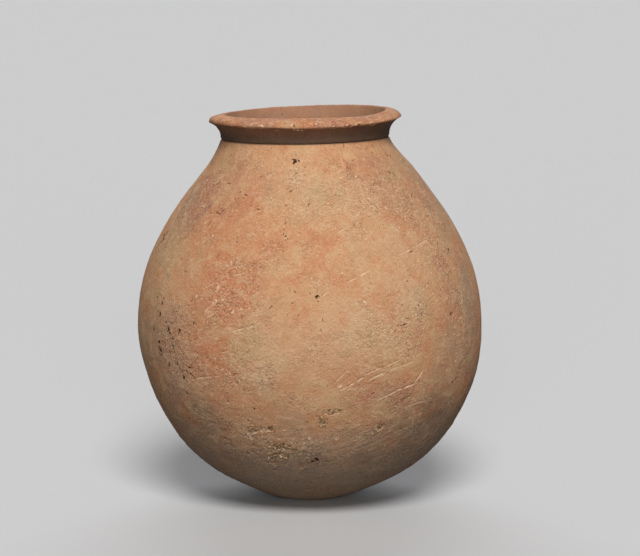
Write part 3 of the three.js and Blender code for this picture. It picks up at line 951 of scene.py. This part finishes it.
def waving_rim(points):
    """The lip's lower edge runs higher at both sides and lower in front, as the cosine of twice the
    turn; the crest dips on the right of the front."""
    turn = np.arctan2(points[..., 0] + MOUTH_SHIFT, -points[..., 1])
    height = points[..., 2] - SEAT_HEIGHT
    widest = RIM_HEIGHT - LIP_DROP
    at_lip = smoothstep(2, widest, height) * smoothstep(RIM_HEIGHT, widest, height)
    at_crest = smoothstep(widest, RIM_HEIGHT, height)
    wave = LIP_WAVE * (0.5 - np.cos(2 * (turn - WAVE_TURN)))
    wave = wave * np.where(np.cos(turn) > 0, 1, WAVE_BEHIND)
    wave *= smoothstep(-0.3, 0.3, np.cos(turn)) * (1 - WAVE_BEHIND) + WAVE_BEHIND
    dip = CREST_DIP * np.exp(-(((turn - DIP_TURN) / DIP_SPREAD) ** 2))
    points = points.copy()
    points[..., 2] += wave * at_lip - dip * at_crest
    return points


rim = Skin(evenly(rim_section(), RIM_ROW_STEP), waving_rim)
rim.broad = unevenness(rim.form, 22.0, 64)
rim.depth += RIM_SKIN_DEPTH + 0.3 * unevenness(rim.form, 30.0, 21) + 0.2 * unevenness(rim.form, 11.0, 22)
rim.depth += 0.16 * rim.lumps + 0.1 * rim.grit

RIM_PITS_SEEN = [
    (346, 127, 1.3), (350, 126, 1.6), (354, 127, 1.8), (358, 126, 2.0), (361, 125.5, 1.7),
    (365, 125, 1.2), (335, 128, 1.0), (374, 123.5, 1.0), (241, 126, 1.0), (264, 121, 0.9),
    (288, 124, 0.9), (321, 123, 0.8), (231, 121, 0.9), (384, 114, 1.0), (275, 127.5, 1.1),
    (294, 126, 1.2), (234, 122, 0.8), (383.5, 110.5, 0.9), (281.5, 108.8, 0.8), (281.8, 114.5, 1.0),
]
RIM_CRUMBS_SEEN = [
    (334, 127, 0.9), (338, 127.3, 1.0), (343, 127, 1.1), (347, 125.5, 1.0), (351, 127, 1.1),
    (371, 122, 1.1), (365, 123.5, 1.0), (262, 126, 1.2), (270, 127, 1.1), (316, 124, 0.8),
    (294, 130, 1.1), (298, 130.3, 1.3), (302, 130.5, 1.2), (257, 124, 0.7), (380, 121.5, 0.9),
    (356, 124, 0.9), (360, 122, 0.8), (330, 122, 0.7), (318, 119, 0.7), (292, 125, 0.9),
]
RIM_BLACK_COUNT = 5  # the first pits are burnt black
RIM_MARK_COUNT = 380
NECK_EDGE = (20.8, 18.4)  # mm up the section, where the painted shade under the lip starts and where it is full
THINNER_SHADE_TURN = -0.35  # left of the front the painted shade on the neck is thinner


def mark_rim(skin):
    """Chips and grains on the lip, painted shade on the neck under the lip, and a duller throat."""
    for column, row, radius in RIM_PITS_SEEN:
        pit(skin, skin.seen_at(column, row), radius, SEEN_PIT_DEPTH)
    for column, row, radius in RIM_PITS_SEEN[:RIM_BLACK_COUNT]:
        spot(skin, skin.seen_at(column - 1, row - 1), 0.5 * radius, 0.3, "black", 1.4)
    for column, row, radius in RIM_CRUMBS_SEEN:
        crumb(skin, skin.seen_at(column, row), radius)
    top = skin.way[-1]
    throat = top - RIM_HEIGHT
    for place in scatter(skin, RIM_MARK_COUNT, 16, throat - 2):
        kind = random.uniform()
        if kind < 0.5:
            pit(skin, place, *draws((0.3, 0.7), (0.15, 0.5), (1, 2.5), (0, 180)))
        elif kind < 0.6:
            crumb(skin, place, *draws((0.3, 0.65)))
        else:
            chip_and_painted_highlight(skin, place, *draws((1.2, 3.4), (0.6, 1.2), (-30, 40)))
    ways = skin.way[:, None]
    drift = 1.2 * skin.broad + 0.8 * skin.lumps
    # Painted shade over the neck under the lip, thinner left of the front
    neck = smoothstep(*NECK_EDGE, ways + drift)
    thinner_shade = smoothstep(3, 12, ways) * smoothstep(1.5, 0.4, np.abs(TURNS_SIGNED - THINNER_SHADE_TURN))
    skin.marks["painted_shade_under_lip"] += neck * (1 - thinner_shade * (0.22 + 0.12 * skin.broad))
    skin.marks["inside"] += 0.85 * smoothstep(throat - 5, throat + 3, ways)
    patches = unevenness(skin.form, 14.0, 67)
    skin.marks["rose"] += 0.6 * smoothstep(-0.1, 0.5, skin.broad)
    skin.marks["blush"] += 0.5 * smoothstep(0.0, -0.5, skin.broad)
    skin.marks["mauve"] += 0.45 * smoothstep(0.0, 0.5, patches)
    skin.marks["sand"] += 0.3 * smoothstep(0.0, -0.5, patches)
    outside = smoothstep(0, -6, ways - throat)
    skin.marks["rough"] = 0.1 + 0.3 * smoothstep(0.1, 0.6, unevenness(skin.form, 16.0, 68)) * outside


mark_rim(rim)
join_edge(rim, rim.way)
rim.depth = np.maximum(rim.depth, 0)


# Meshes


def strip(points, inside=0.0):
    """A plain grid of points with its normals."""
    marks = unmarked(points.shape[:2])
    marks["inside"] += inside
    return {"points": points, "normals": grid_normals(points), "marks": marks, "leads": False}


def skin_strip(skin, low, high):
    """Rows low to high of a skin, with normals worked out over the whole skin, so that two pieces
    that meet there look like one surface."""
    rows = slice(low, high + 1)
    points = skin.surface()
    marks = {name: values[rows] for name, values in skin.marks.items()}
    return {"points": points[rows], "normals": grid_normals(points)[rows], "marks": marks, "leads": True}


def lathe_mesh(name, strips, poles=False):
    """One closed mesh from strips that share their end rows, in order round the section. With poles,
    the first and last row are single points on the axis; without, the last row is the first again."""
    for before, after in zip(strips, strips[1:]):
        for mark, values in before["marks"].items():
            if before["leads"]:
                after["marks"][mark][0] = values[-1]
    kept = [slice(None, -1)] * len(strips)
    if poles:
        kept[-1] = slice(None)
    points = np.concatenate([s["points"][k] for s, k in zip(strips, kept)])
    marks = {m: np.concatenate([s["marks"][m][k] for s, k in zip(strips, kept)]) for m in NO_MARK}
    rows = len(points)
    index = np.arange(rows * COLUMNS).reshape(rows, COLUMNS)
    beside = np.roll(index, -1, axis=1)
    corner_points, corner_normals, edge_rows = [], [], []
    start = 0
    for s in strips:
        here = np.arange(start, start + len(s["points"]) - 1)
        above = (here + 1) % rows
        corner_points.append(np.stack([index[here], beside[here], beside[above], index[above]], -1))
        n = s["normals"]
        m = np.roll(n, -1, axis=1)
        corner_normals.append(np.stack([n[:-1], m[:-1], m[1:], n[1:]], -2))
        edge_rows.append(start)
        start = here[-1] + 1
    quads = np.concatenate(corner_points).reshape(-1, 4)
    normals = np.concatenate(corner_normals).reshape(-1, 4, 3)
    row_numbers = np.arange(rows)
    crisp = np.repeat(np.where(np.isin(row_numbers, edge_rows), row_numbers, -1), COLUMNS)
    places = points.reshape(-1, 3)
    marks = {m: values.reshape(-1) for m, values in marks.items()}
    if poles:
        return pole_mesh(name, places, quads, normals, marks, crisp)
    starts = np.arange(len(quads)) * 4
    return filled_mesh(name, places, quads.reshape(-1), starts, normals.reshape(-1, 3), marks, crisp)


def pole_mesh(name, places, quads, normals, marks, crisp):
    """The same mesh with the rows at its two poles drawn together to one vertex each."""
    last = len(places) - COLUMNS
    bottom = np.stack([np.zeros(COLUMNS, int), quads[:COLUMNS, 2], quads[:COLUMNS, 3]], -1)
    top = np.stack([quads[-COLUMNS:, 0], quads[-COLUMNS:, 1], np.full(COLUMNS, last)], -1)
    keep = np.concatenate([[0], np.arange(COLUMNS, last + 1)])
    renumber = np.zeros(len(places), int)
    renumber[keep] = np.arange(len(keep))
    loops = np.concatenate([bottom.reshape(-1), quads[COLUMNS:-COLUMNS].reshape(-1), top.reshape(-1)])
    sizes = np.full(len(quads), 4)
    sizes[:COLUMNS] = sizes[-COLUMNS:] = 3
    starts = np.cumsum(sizes) - sizes
    down, up = np.array([0, 0, -1.0]), np.array([0, 0, 1.0])
    flat = [
        np.stack([0 * normals[:COLUMNS, 2] + down, normals[:COLUMNS, 2], normals[:COLUMNS, 3]], 1),
        normals[COLUMNS:-COLUMNS],
        np.stack([normals[-COLUMNS:, 0], normals[-COLUMNS:, 1], 0 * normals[-COLUMNS:, 0] + up], 1),
    ]
    flat = np.concatenate([n.reshape(-1, 3) for n in flat])
    kept_marks = {m: values[keep] for m, values in marks.items()}
    return filled_mesh(name, places[keep], renumber[loops], starts, flat, kept_marks, crisp[keep])


def filled_mesh(name, places, loops, starts, normals, marks, crisp):
    """Puts the arrays into a Blender mesh, millimetres turned into metres. crisp is the number of the
    sharp row that a point is in, or -1."""
    mesh = bpy.data.meshes.new(name)
    mesh.vertices.add(len(places))
    mesh.vertices.foreach_set("co", (places / 1000).astype(np.float32).ravel())
    mesh.loops.add(len(loops))
    mesh.loops.foreach_set("vertex_index", loops.astype(np.int32))
    mesh.polygons.add(len(starts))
    mesh.polygons.foreach_set("loop_start", starts.astype(np.int32))
    mesh.update(calc_edges=True)
    mesh.shade_smooth()
    ends = np.empty(len(mesh.edges) * 2, np.int32)
    mesh.edges.foreach_get("vertices", ends)
    first, second = crisp[ends.reshape(-1, 2)].T
    sharp = mesh.attributes.new("sharp_edge", "BOOLEAN", "EDGE")
    sharp.data.foreach_set("value", (first == second) & (first >= 0))
    free = mesh.attributes.new("custom_normal", "FLOAT_VECTOR", "CORNER")
    free.data.foreach_set("vector", normals.astype(np.float32).ravel())
    for mark, values in marks.items():
        attribute = mesh.attributes.new(mark, "FLOAT", "POINT")
        attribute.data.foreach_set("value", values.astype(np.float32))
    return mesh


def placed(name, data):
    """A new object in the scene for a mesh, a lamp or a camera."""
    made = bpy.data.objects.new(name, data)
    bpy.context.scene.collection.objects.link(made)
    return made


def piece(mesh, node, material):
    """An object for a mesh, in the place of a CAD node, riding on the jar."""
    made = placed(f"{node}_clay", mesh)
    made.data.materials.append(material)
    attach(made, "root")
    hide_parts(node)


def between(start, end, rows):
    """Rows of points on straight lines from one row of points to another."""
    share = np.linspace(0, 1, rows + 1)[:, None, None]
    return start + (end - start) * share


def inner_strip(high, low, rows):
    """The inside of the wall from one station down to another, with soft finger marks."""
    stations = np.linspace(high, low, rows + 1)
    points = ring(wall_line(stations, 1))
    pressed = 0.5 + 0.5 * unevenness(points * LEVEL_STRETCH, 16.0, 31)
    ends = np.sin(np.pi * np.linspace(0, 1, rows + 1))[:, None]
    return strip(points + grid_normals(points) * -(pressed * ends)[..., None], inside=1.0)


def base_bowl():
    """The round bottom: a worn flat, the outside up to the lap, the lap, the inside and the floor."""
    inner_end = lap_ends(BOWL_HEIGHT)[1]
    outside = skin_strip(body, ROW_ENDS[0], ROW_ENDS[1])
    foot_edge = outside["points"][0]
    centre = np.zeros_like(foot_edge)
    foot_points = between(centre, foot_edge, FOOT_ROWS)
    foot = strip(foot_points)
    foot["normals"] = np.zeros_like(foot_points) + np.array([0, 0, -1.0])
    foot["marks"]["cream_and_painted_light"] += 0.5
    inside_line = inner_strip(inner_end, 0.0, INNER_ROWS + 2)
    floor_middle = ring(np.array([[0.0, FLOOR_WALL - FOOT_WEAR]]))[0]
    lap = strip(between(outside["points"][-1], inside_line["points"][0], 1))
    floor = strip(between(inside_line["points"][-1], floor_middle, 2), inside=1.0)
    floor["normals"] = np.zeros_like(floor["points"]) + np.array([0, 0, 1.0])
    return lathe_mesh("base_bowl", [foot, outside, lap, inside_line, floor], poles=True)


def wall_band(index):
    """One band of wall: outside, upper lap, inside and lower lap."""
    joint = JOINTS[index]
    is_top = index == len(BAND_NAMES) - 1
    inner_head = SEAT_HEIGHT if is_top else lap_ends(JOINTS[index + 1])[1]
    inner_foot = lap_ends(joint)[1] + slip_along_wall(joint)
    outside = skin_strip(body, ROW_ENDS[index + 1], ROW_ENDS[index + 2])
    inside_line = inner_strip(inner_head, inner_foot, INNER_ROWS)
    head = strip(between(outside["points"][-1], inside_line["points"][0], 1))
    foot = strip(between(inside_line["points"][-1], outside["points"][0], 1))
    return lathe_mesh(BAND_NAMES[index], [outside, head, inside_line, foot])


def rim_ring():
    """Neck and lip: the rim's skin, closed by the level underside that sits on the shoulder."""
    outside = skin_strip(rim, 0, len(rim.way) - 1)
    under = strip(between(outside["points"][-1], outside["points"][0], 2))
    return lathe_mesh("rim_ring", [outside, under])


def seal_coil():
    """The roll inside the neck: its back follows the wall and the ring, and its face is an arc that
    fingers pressed into shallow hollows."""
    bottom = SEAT_HEIGHT - SEAL_BELOW
    back = wall_line(np.linspace(bottom, SEAT_HEIGHT, SEAL_BACK_ROWS + 1), 1)
    above = np.array([[throat_radius(SEAL_ABOVE), SEAT_HEIGHT + SEAL_ABOVE]])
    back = np.concatenate([back, above]) - np.array([SLIP_GAP, 0])
    low, corner, top = back[0], back[SEAL_BACK_ROWS], back[-1]
    corner_share = (top[1] - corner[1]) / (top[1] - low[1])
    stands_out = top[0] + (low[0] - top[0]) * corner_share - corner[0]
    bulge = (stands_out + SEAL_THICKNESS) / math.sin(math.pi * corner_share)
    share = np.linspace(0, 1, SEAL_FACE_ROWS + 1)
    face = top + (low - top) * share[:, None]
    face[:, 0] -= bulge * np.sin(np.pi * share)
    points = ring(face)
    wander = 5 * unevenness(points[SEAL_FACE_ROWS // 2], 40.0, 41)
    pressed = 0.35 * (1 + np.sin(TURNS * FINGER_MARKS + wander)) ** 1.5
    pressed = pressed[None, :] * np.sin(np.pi * share)[:, None] ** 0.7
    pressed += 0.35 * np.sin(np.pi * share)[:, None] * (1 + unevenness(points, 7.0, 42))
    face_strip = strip(points + grid_normals(points) * -(0.55 * pressed)[..., None], inside=0.6)
    return lathe_mesh("neck_seal_coil", [strip(ring(back)), face_strip])


# Finishes


def paint(red, green, blue):
    """A colour as it looks on a screen, 0 to 255, turned into linear light."""
    shares = [c / 255 for c in (red, green, blue)]
    linear = [s / 12.92 if s <= 0.04045 else ((s + 0.055) / 1.055) ** 2.4 for s in shares]
    return (*linear, 1.0)


class Reading:
    """A number that changes over the surface; sums and products of it add Math nodes."""

    def __init__(self, finish, socket):
        self.finish = finish
        self.socket = socket

    def _with(self, operation, first, second):
        """What a Math node makes of two numbers or readings."""
        node = self.finish.node("ShaderNodeMath", {"operation": operation}, {0: first, 1: second})
        return Reading(self.finish, node.outputs[0])

    def __add__(self, other):
        return self._with("ADD", self, other)

    def __radd__(self, other):
        return self._with("ADD", other, self)

    def __sub__(self, other):
        return self._with("SUBTRACT", self, other)

    def __rsub__(self, other):
        return self._with("SUBTRACT", other, self)

    def __abs__(self):
        return self._with("ABSOLUTE", self, 0.0)

    def __mul__(self, other):
        return self._with("MULTIPLY", self, other)

    def __rmul__(self, other):
        return self._with("MULTIPLY", other, self)


def add_node(tree, kind, settings=None, inputs=None):
    """Adds a node: its settings first, then a value or a link for each named or numbered socket."""
    made = tree.nodes.new(kind)
    for name, value in (settings or {}).items():
        setattr(made, name, value)
    for name, value in (inputs or {}).items():
        if isinstance(value, Reading):
            value = value.socket
        if isinstance(value, bpy.types.NodeSocket):
            tree.links.new(value, made.inputs[name])
        else:
            made.inputs[name].default_value = value
    return made


class Finish:
    """A material, the nodes in it, and the colour that they have made so far."""

    def __init__(self, name, ground=None):
        self.color = ground
        self.material = bpy.data.materials.new(name)
        self.material.use_nodes = True
        self.tree = self.material.node_tree
        self.tree.nodes.clear()
        self.place = self.node("ShaderNodeTexCoord").outputs["Object"]

    def node(self, kind, settings=None, inputs=None):
        """Adds a node to the material."""
        return add_node(self.tree, kind, settings, inputs)

    def tone(self, name):
        """What the mesh says of one tone at each point."""
        return Reading(self, self.node("ShaderNodeAttribute", {"attribute_name": name}).outputs["Fac"])

    def noise(self, size_mm, detail=2.0, roughness=0.5, shift=(0, 0, 0), curl=0.0):
        """Noise of about a size in millimetres, 0 to 1 round 0.5; curl bends its features."""
        moved = self.node("ShaderNodeMapping", {}, {"Vector": self.place, "Location": shift})
        inputs = {
            "Vector": moved.outputs[0], "Scale": 1000 / size_mm, "Detail": detail, "Roughness": roughness,
            "Distortion": curl,
        }
        return Reading(self, self.node("ShaderNodeTexNoise", {}, inputs).outputs[0])

    def window(self, reading, low, high):
        """0 where the reading is below low, 1 above high, and smooth between them."""
        inputs = {"Value": reading, "From Min": low, "From Max": high}
        settings = {"interpolation_type": "SMOOTHSTEP"}
        return Reading(self, self.node("ShaderNodeMapRange", settings, inputs).outputs[0])

    def lay(self, amount, shade):
        """Blends another colour over the one so far by an amount."""
        settings = {"data_type": "RGBA", "blend_type": "MIX", "clamp_factor": True}
        made = self.node("ShaderNodeMix", settings, {0: amount, 6: self.color, 7: shade})
        self.color = made.outputs[2]

    def shaded(self, roughness, height, bump, specular):
        """Ends the material in one Principled shader with a bump."""
        inputs = {"Height": height, "Strength": bump, "Distance": 0.001}
        normal = self.node("ShaderNodeBump", {}, inputs).outputs[0]
        inputs = {
            "Base Color": self.color, "Roughness": roughness, "Normal": normal,
            "Specular IOR Level": specular, "Diffuse Roughness": 0.1,
        }
        surface = self.node("ShaderNodeBsdfPrincipled", {}, inputs).outputs[0]
        self.node("ShaderNodeOutputMaterial", {}, {"Surface": surface})
        return self.material


CLAY = paint(210, 156, 113)
PALE = paint(243, 214, 180)
FLAKE = paint(229, 176, 138)
PORE = paint(108, 69, 46)
BLACK = paint(76, 52, 34)
STAIN = paint(122, 100, 62)
# Colour of the painted shade on the neck under the lip and in the crease at the rim's join
PAINTED_SHADE_UNDER_LIP = paint(92, 74, 61)
INSIDE = paint(167, 127, 101)
TERRACOTTA = paint(194, 131, 95)
DEEP = paint(150, 99, 70)
CLOUD_TONES = {
    "blush": paint(204, 133, 92),
    # A pale firing colour, and painted light on the foot
    "cream_and_painted_light": paint(217, 178, 137),
    "sand": paint(192, 163, 119),
    "rose": paint(180, 122, 98),
    "mauve": paint(174, 138, 116),
    # A grey firing colour behind, and painted shade on the flanks and low on the body
    "ash_and_painted_shade": paint(170, 147, 127),
    # Painted shade
    "painted_shade": paint(146, 114, 91),
}


# Marks with a ragged edge, in the order that they are laid: between which mm inside the edge the
# colour comes in, how strong it gets, and the colour
RAGGED_MARKS = [
    ("chip_and_painted_highlight", -0.2, 0.4, 0.7, FLAKE),
    ("crumb", -0.15, 0.4, 0.8, PALE),
    ("pore_and_painted_shade", -0.15, 0.4, 0.7, PORE),
    ("black", -0.3, 0.5, 1.0, BLACK),
]
BUMP = 0.7
SHINE = 0.2


def clay_finish(name, ground, mottle):
    """Bare fired clay: a ground that drifts between firing colours, mottled from centimetres down to
    single grains, with curled creases, a painted highlight and painted shade on each small bump and
    beside each scratch, and every mark that the mesh carries. A window's numbers say where a colour
    starts and where it is full, and those after it how strong it gets."""
    finish = Finish(name, ground)
    lay, window, tone, noise = finish.lay, finish.window, finish.tone, finish.noise
    for cloud_name, shade in CLOUD_TONES.items():
        lay(tone(cloud_name), shade)
    rough = tone("rough")
    clear = (1.0 - 0.75 * window(tone("ash_and_painted_shade"), 0.3, 1.0)) * mottle
    drift = noise(30, 4.0, 0.6)
    lay(window(drift, 0.5, 0.64) * 0.5 * clear, CLOUD_TONES["blush"])
    lay(window(drift, 0.48, 0.34) * 0.3 * clear, CLOUD_TONES["sand"])
    film = noise(13, 4.0, 0.55, (5, 7, 1), 0.5)
    lay(window(film, 0.5, 0.64) * 0.5 * clear, CLOUD_TONES["cream_and_painted_light"])
    lay(window(film, 0.46, 0.32) * (0.12 + 0.18 * rough) * clear, DEEP)
    # A noise less the same noise a little higher up: a painted highlight and painted shade on the two sides
    # of each small bump, as from light above
    painted_relief_light = noise(5, 3.0, 0.6, (4, 4, 4), 1.4) - noise(5, 3.0, 0.6, (4, 4, 4.0009), 1.4)
    lay(window(painted_relief_light, 0.02, 0.11) * (0.12 + 0.4 * rough), PALE)
    lay(window(painted_relief_light, -0.02, -0.11) * (0.12 + 0.4 * rough), DEEP)
    curl = noise(4.4, 3.0, 0.55, (3, 1, 2), 1.2)
    lay(window(curl, 0.53, 0.68) * (0.1 + 0.26 * rough), FLAKE)
    lay(window(curl, 0.46, 0.32) * (0.08 + 0.28 * rough), DEEP)
    crease = abs(noise(9, 4.0, 0.6, (8, 2, 5), 0.8) - 0.5)
    dark_crease = window(crease, 0.012, 0.003) * (rough * rough)
    lay(dark_crease * 0.35, DEEP)
    ridge = abs(noise(7.5, 4.0, 0.6, (1, 9, 7), 0.8) - 0.5)
    pale_ridge = window(ridge, 0.014, 0.003) * (0.15 + 0.85 * rough)
    lay(pale_ridge * 0.4, PALE)
    grain = noise(1.3, 1.0, 0.5, (2, 8, 4))
    lay(window(grain, 0.42, 0.28) * (0.45 + 0.55 * rough) * 0.42, PORE)
    lay(window(grain, 0.58, 0.72) * (0.18 + 0.34 * rough), PALE)
    lay(tone("inside") * 0.85, INSIDE)
    # Painted shade under the lip and in the crease at the rim's join
    lay(tone("painted_shade_under_lip") * 0.92, PAINTED_SHADE_UNDER_LIP)
    lay(tone("stain") * 0.9, STAIN)
    ragged = 1.1 * (noise(2.2, 3.0, 0.6, (6, 3, 8), 0.6) - 0.5)
    beside = tone("beside") + ragged
    scored = tone("scored") * window(curl, 0.34, 0.5)
    # Beside each scratch, a painted highlight on its lower wall and painted shade on its upper wall
    lay(window(abs(beside + 0.3), 0.95, 0.35) * scored * 0.9, PALE)
    lay(window(abs(beside - 0.9), 0.6, 0.15) * scored * 0.5, PORE)
    for mark, low, high, strength, shade in RAGGED_MARKS:
        lay(window(tone(mark) + ragged, low, high) * strength, shade)
    height = film + curl * (0.4 + 0.9 * rough) + 0.3 * grain - 0.35 * dark_crease + 0.25 * pale_ridge
    return finish.shaded(0.97 - 0.12 * curl, height, BUMP, SHINE)


body_clay = clay_finish("bare_clay", CLAY, 1.0)
rim_clay = clay_finish("rim_terracotta", TERRACOTTA, 0.6)
seal_clay = clay_finish("pressed_seal_clay", paint(164, 124, 96), 0.6)

piece(base_bowl(), "base_bowl", body_clay)
for band_index, band_name in enumerate(BAND_NAMES):
    piece(wall_band(band_index), band_name, body_clay)
piece(seal_coil(), "neck_seal_coil", seal_clay)
piece(rim_ring(), "rim_ring", rim_clay)


# Camera, floor and light

# Lamps: name, turn from the front and height in degrees, strength, spread in degrees, and colour
LAMPS = [
    ("key", 4, 47, 2.2, 24, (1.0, 0.985, 0.96)),
    ("low", 0, 8, 1.2, 30, (1.0, 0.985, 0.96)),
    ("back", 180, 28, 1.6, 50, (0.97, 0.98, 1.0)),
]
LAMP_DISTANCE = 3


def add_camera():
    """The photograph's viewpoint: a long lens a little above the rim."""
    data = bpy.data.cameras.new("camera")
    data.sensor_width = SENSOR_WIDTH
    data.lens = FOCAL_PIXELS * SENSOR_WIDTH / PICTURE_WIDTH
    data.clip_end = 100
    camera = placed("camera", data)
    camera.location = Vector(CAMERA_PLACE / 1000)
    camera.rotation_euler = Vector(CAMERA_AIM - CAMERA_PLACE).to_track_quat("-Z", "Y").to_euler()
    bpy.context.scene.camera = camera


def add_lamp(name, azimuth, elevation, strength, spread, color):
    """A distant soft lamp; azimuth 0 stands in front of the jar and 90 to its right."""
    data = bpy.data.lights.new(name, "SUN")
    data.energy = strength
    data.angle = math.radians(spread)
    data.color = color
    lamp = placed(name, data)
    turn, rise = math.radians(azimuth), math.radians(elevation)
    towards = Vector((math.sin(turn) * math.cos(rise), -math.cos(turn) * math.cos(rise), math.sin(rise)))
    lamp.rotation_euler = towards.to_track_quat("Z", "Y").to_euler()
    lamp.location = towards * LAMP_DISTANCE


def seen_directly(finish):
    """1 for what the camera sees, directly or in a mirror or glass, and 0 for light that bounces."""
    path = finish.node("ShaderNodeLightPath").outputs
    direct = Reading(finish, path["Is Camera Ray"])
    return direct + Reading(finish, path["Is Glossy Ray"]) + Reading(finish, path["Is Transmission Ray"])


def add_floor(size=60.0, shown=0.72, bounced=0.05):
    """A wide pale floor that bounces little light, and can't be seen from below."""
    finish = Finish("pale_floor")
    pale = finish.node("ShaderNodeBsdfDiffuse", {}, {"Color": (shown, shown, shown * 1.01, 1)}).outputs[0]
    cool = (bounced * 0.85, bounced, bounced * 1.3, 1)
    dull = finish.node("ShaderNodeBsdfDiffuse", {}, {"Color": cool}).outputs[0]
    clear = finish.node("ShaderNodeBsdfTransparent").outputs[0]
    from_below = finish.node("ShaderNodeNewGeometry").outputs["Backfacing"]
    camera_ray = finish.node("ShaderNodeLightPath").outputs["Is Camera Ray"]
    surface = finish.node("ShaderNodeMixShader", {}, {0: seen_directly(finish), 1: dull, 2: pale}).outputs[0]
    gone = Reading(finish, from_below) * Reading(finish, camera_ray)
    surface = finish.node("ShaderNodeMixShader", {}, {0: gone, 1: surface, 2: clear}).outputs[0]
    finish.node("ShaderNodeOutputMaterial", {}, {"Surface": surface})
    half = size / 2
    mesh = bpy.data.meshes.new("floor")
    corners = [(-half, -half, 0), (half, -half, 0), (half, half, 0), (-half, half, 0)]
    mesh.from_pydata(corners, [], [(0, 1, 2, 3)])
    mesh.materials.append(finish.material)
    floor = placed("floor", mesh)


def add_world(shown=0.82, fill=0.05):
    """A dim even sky that fills the shadows, pale where the camera sees it."""
    world = bpy.data.worlds.new("studio")
    world.use_nodes = True
    tree = world.node_tree
    tree.nodes.clear()
    dim, pale = (fill * 0.88, fill, fill * 1.15, 1), (shown, shown, shown, 1)
    sky = add_node(tree, "ShaderNodeBackground", {}, {"Color": dim}).outputs[0]
    backdrop = add_node(tree, "ShaderNodeBackground", {}, {"Color": pale}).outputs[0]
    seen = add_node(tree, "ShaderNodeLightPath").outputs["Is Camera Ray"]
    mixed = add_node(tree, "ShaderNodeMixShader", {}, {0: seen, 1: sky, 2: backdrop}).outputs[0]
    add_node(tree, "ShaderNodeOutputWorld", {}, {"Surface": mixed})
    bpy.context.scene.world = world


add_camera()
for lamp in LAMPS:
    add_lamp(*lamp)
add_floor()
add_world()
bpy.context.scene.view_settings.view_transform = "Standard"
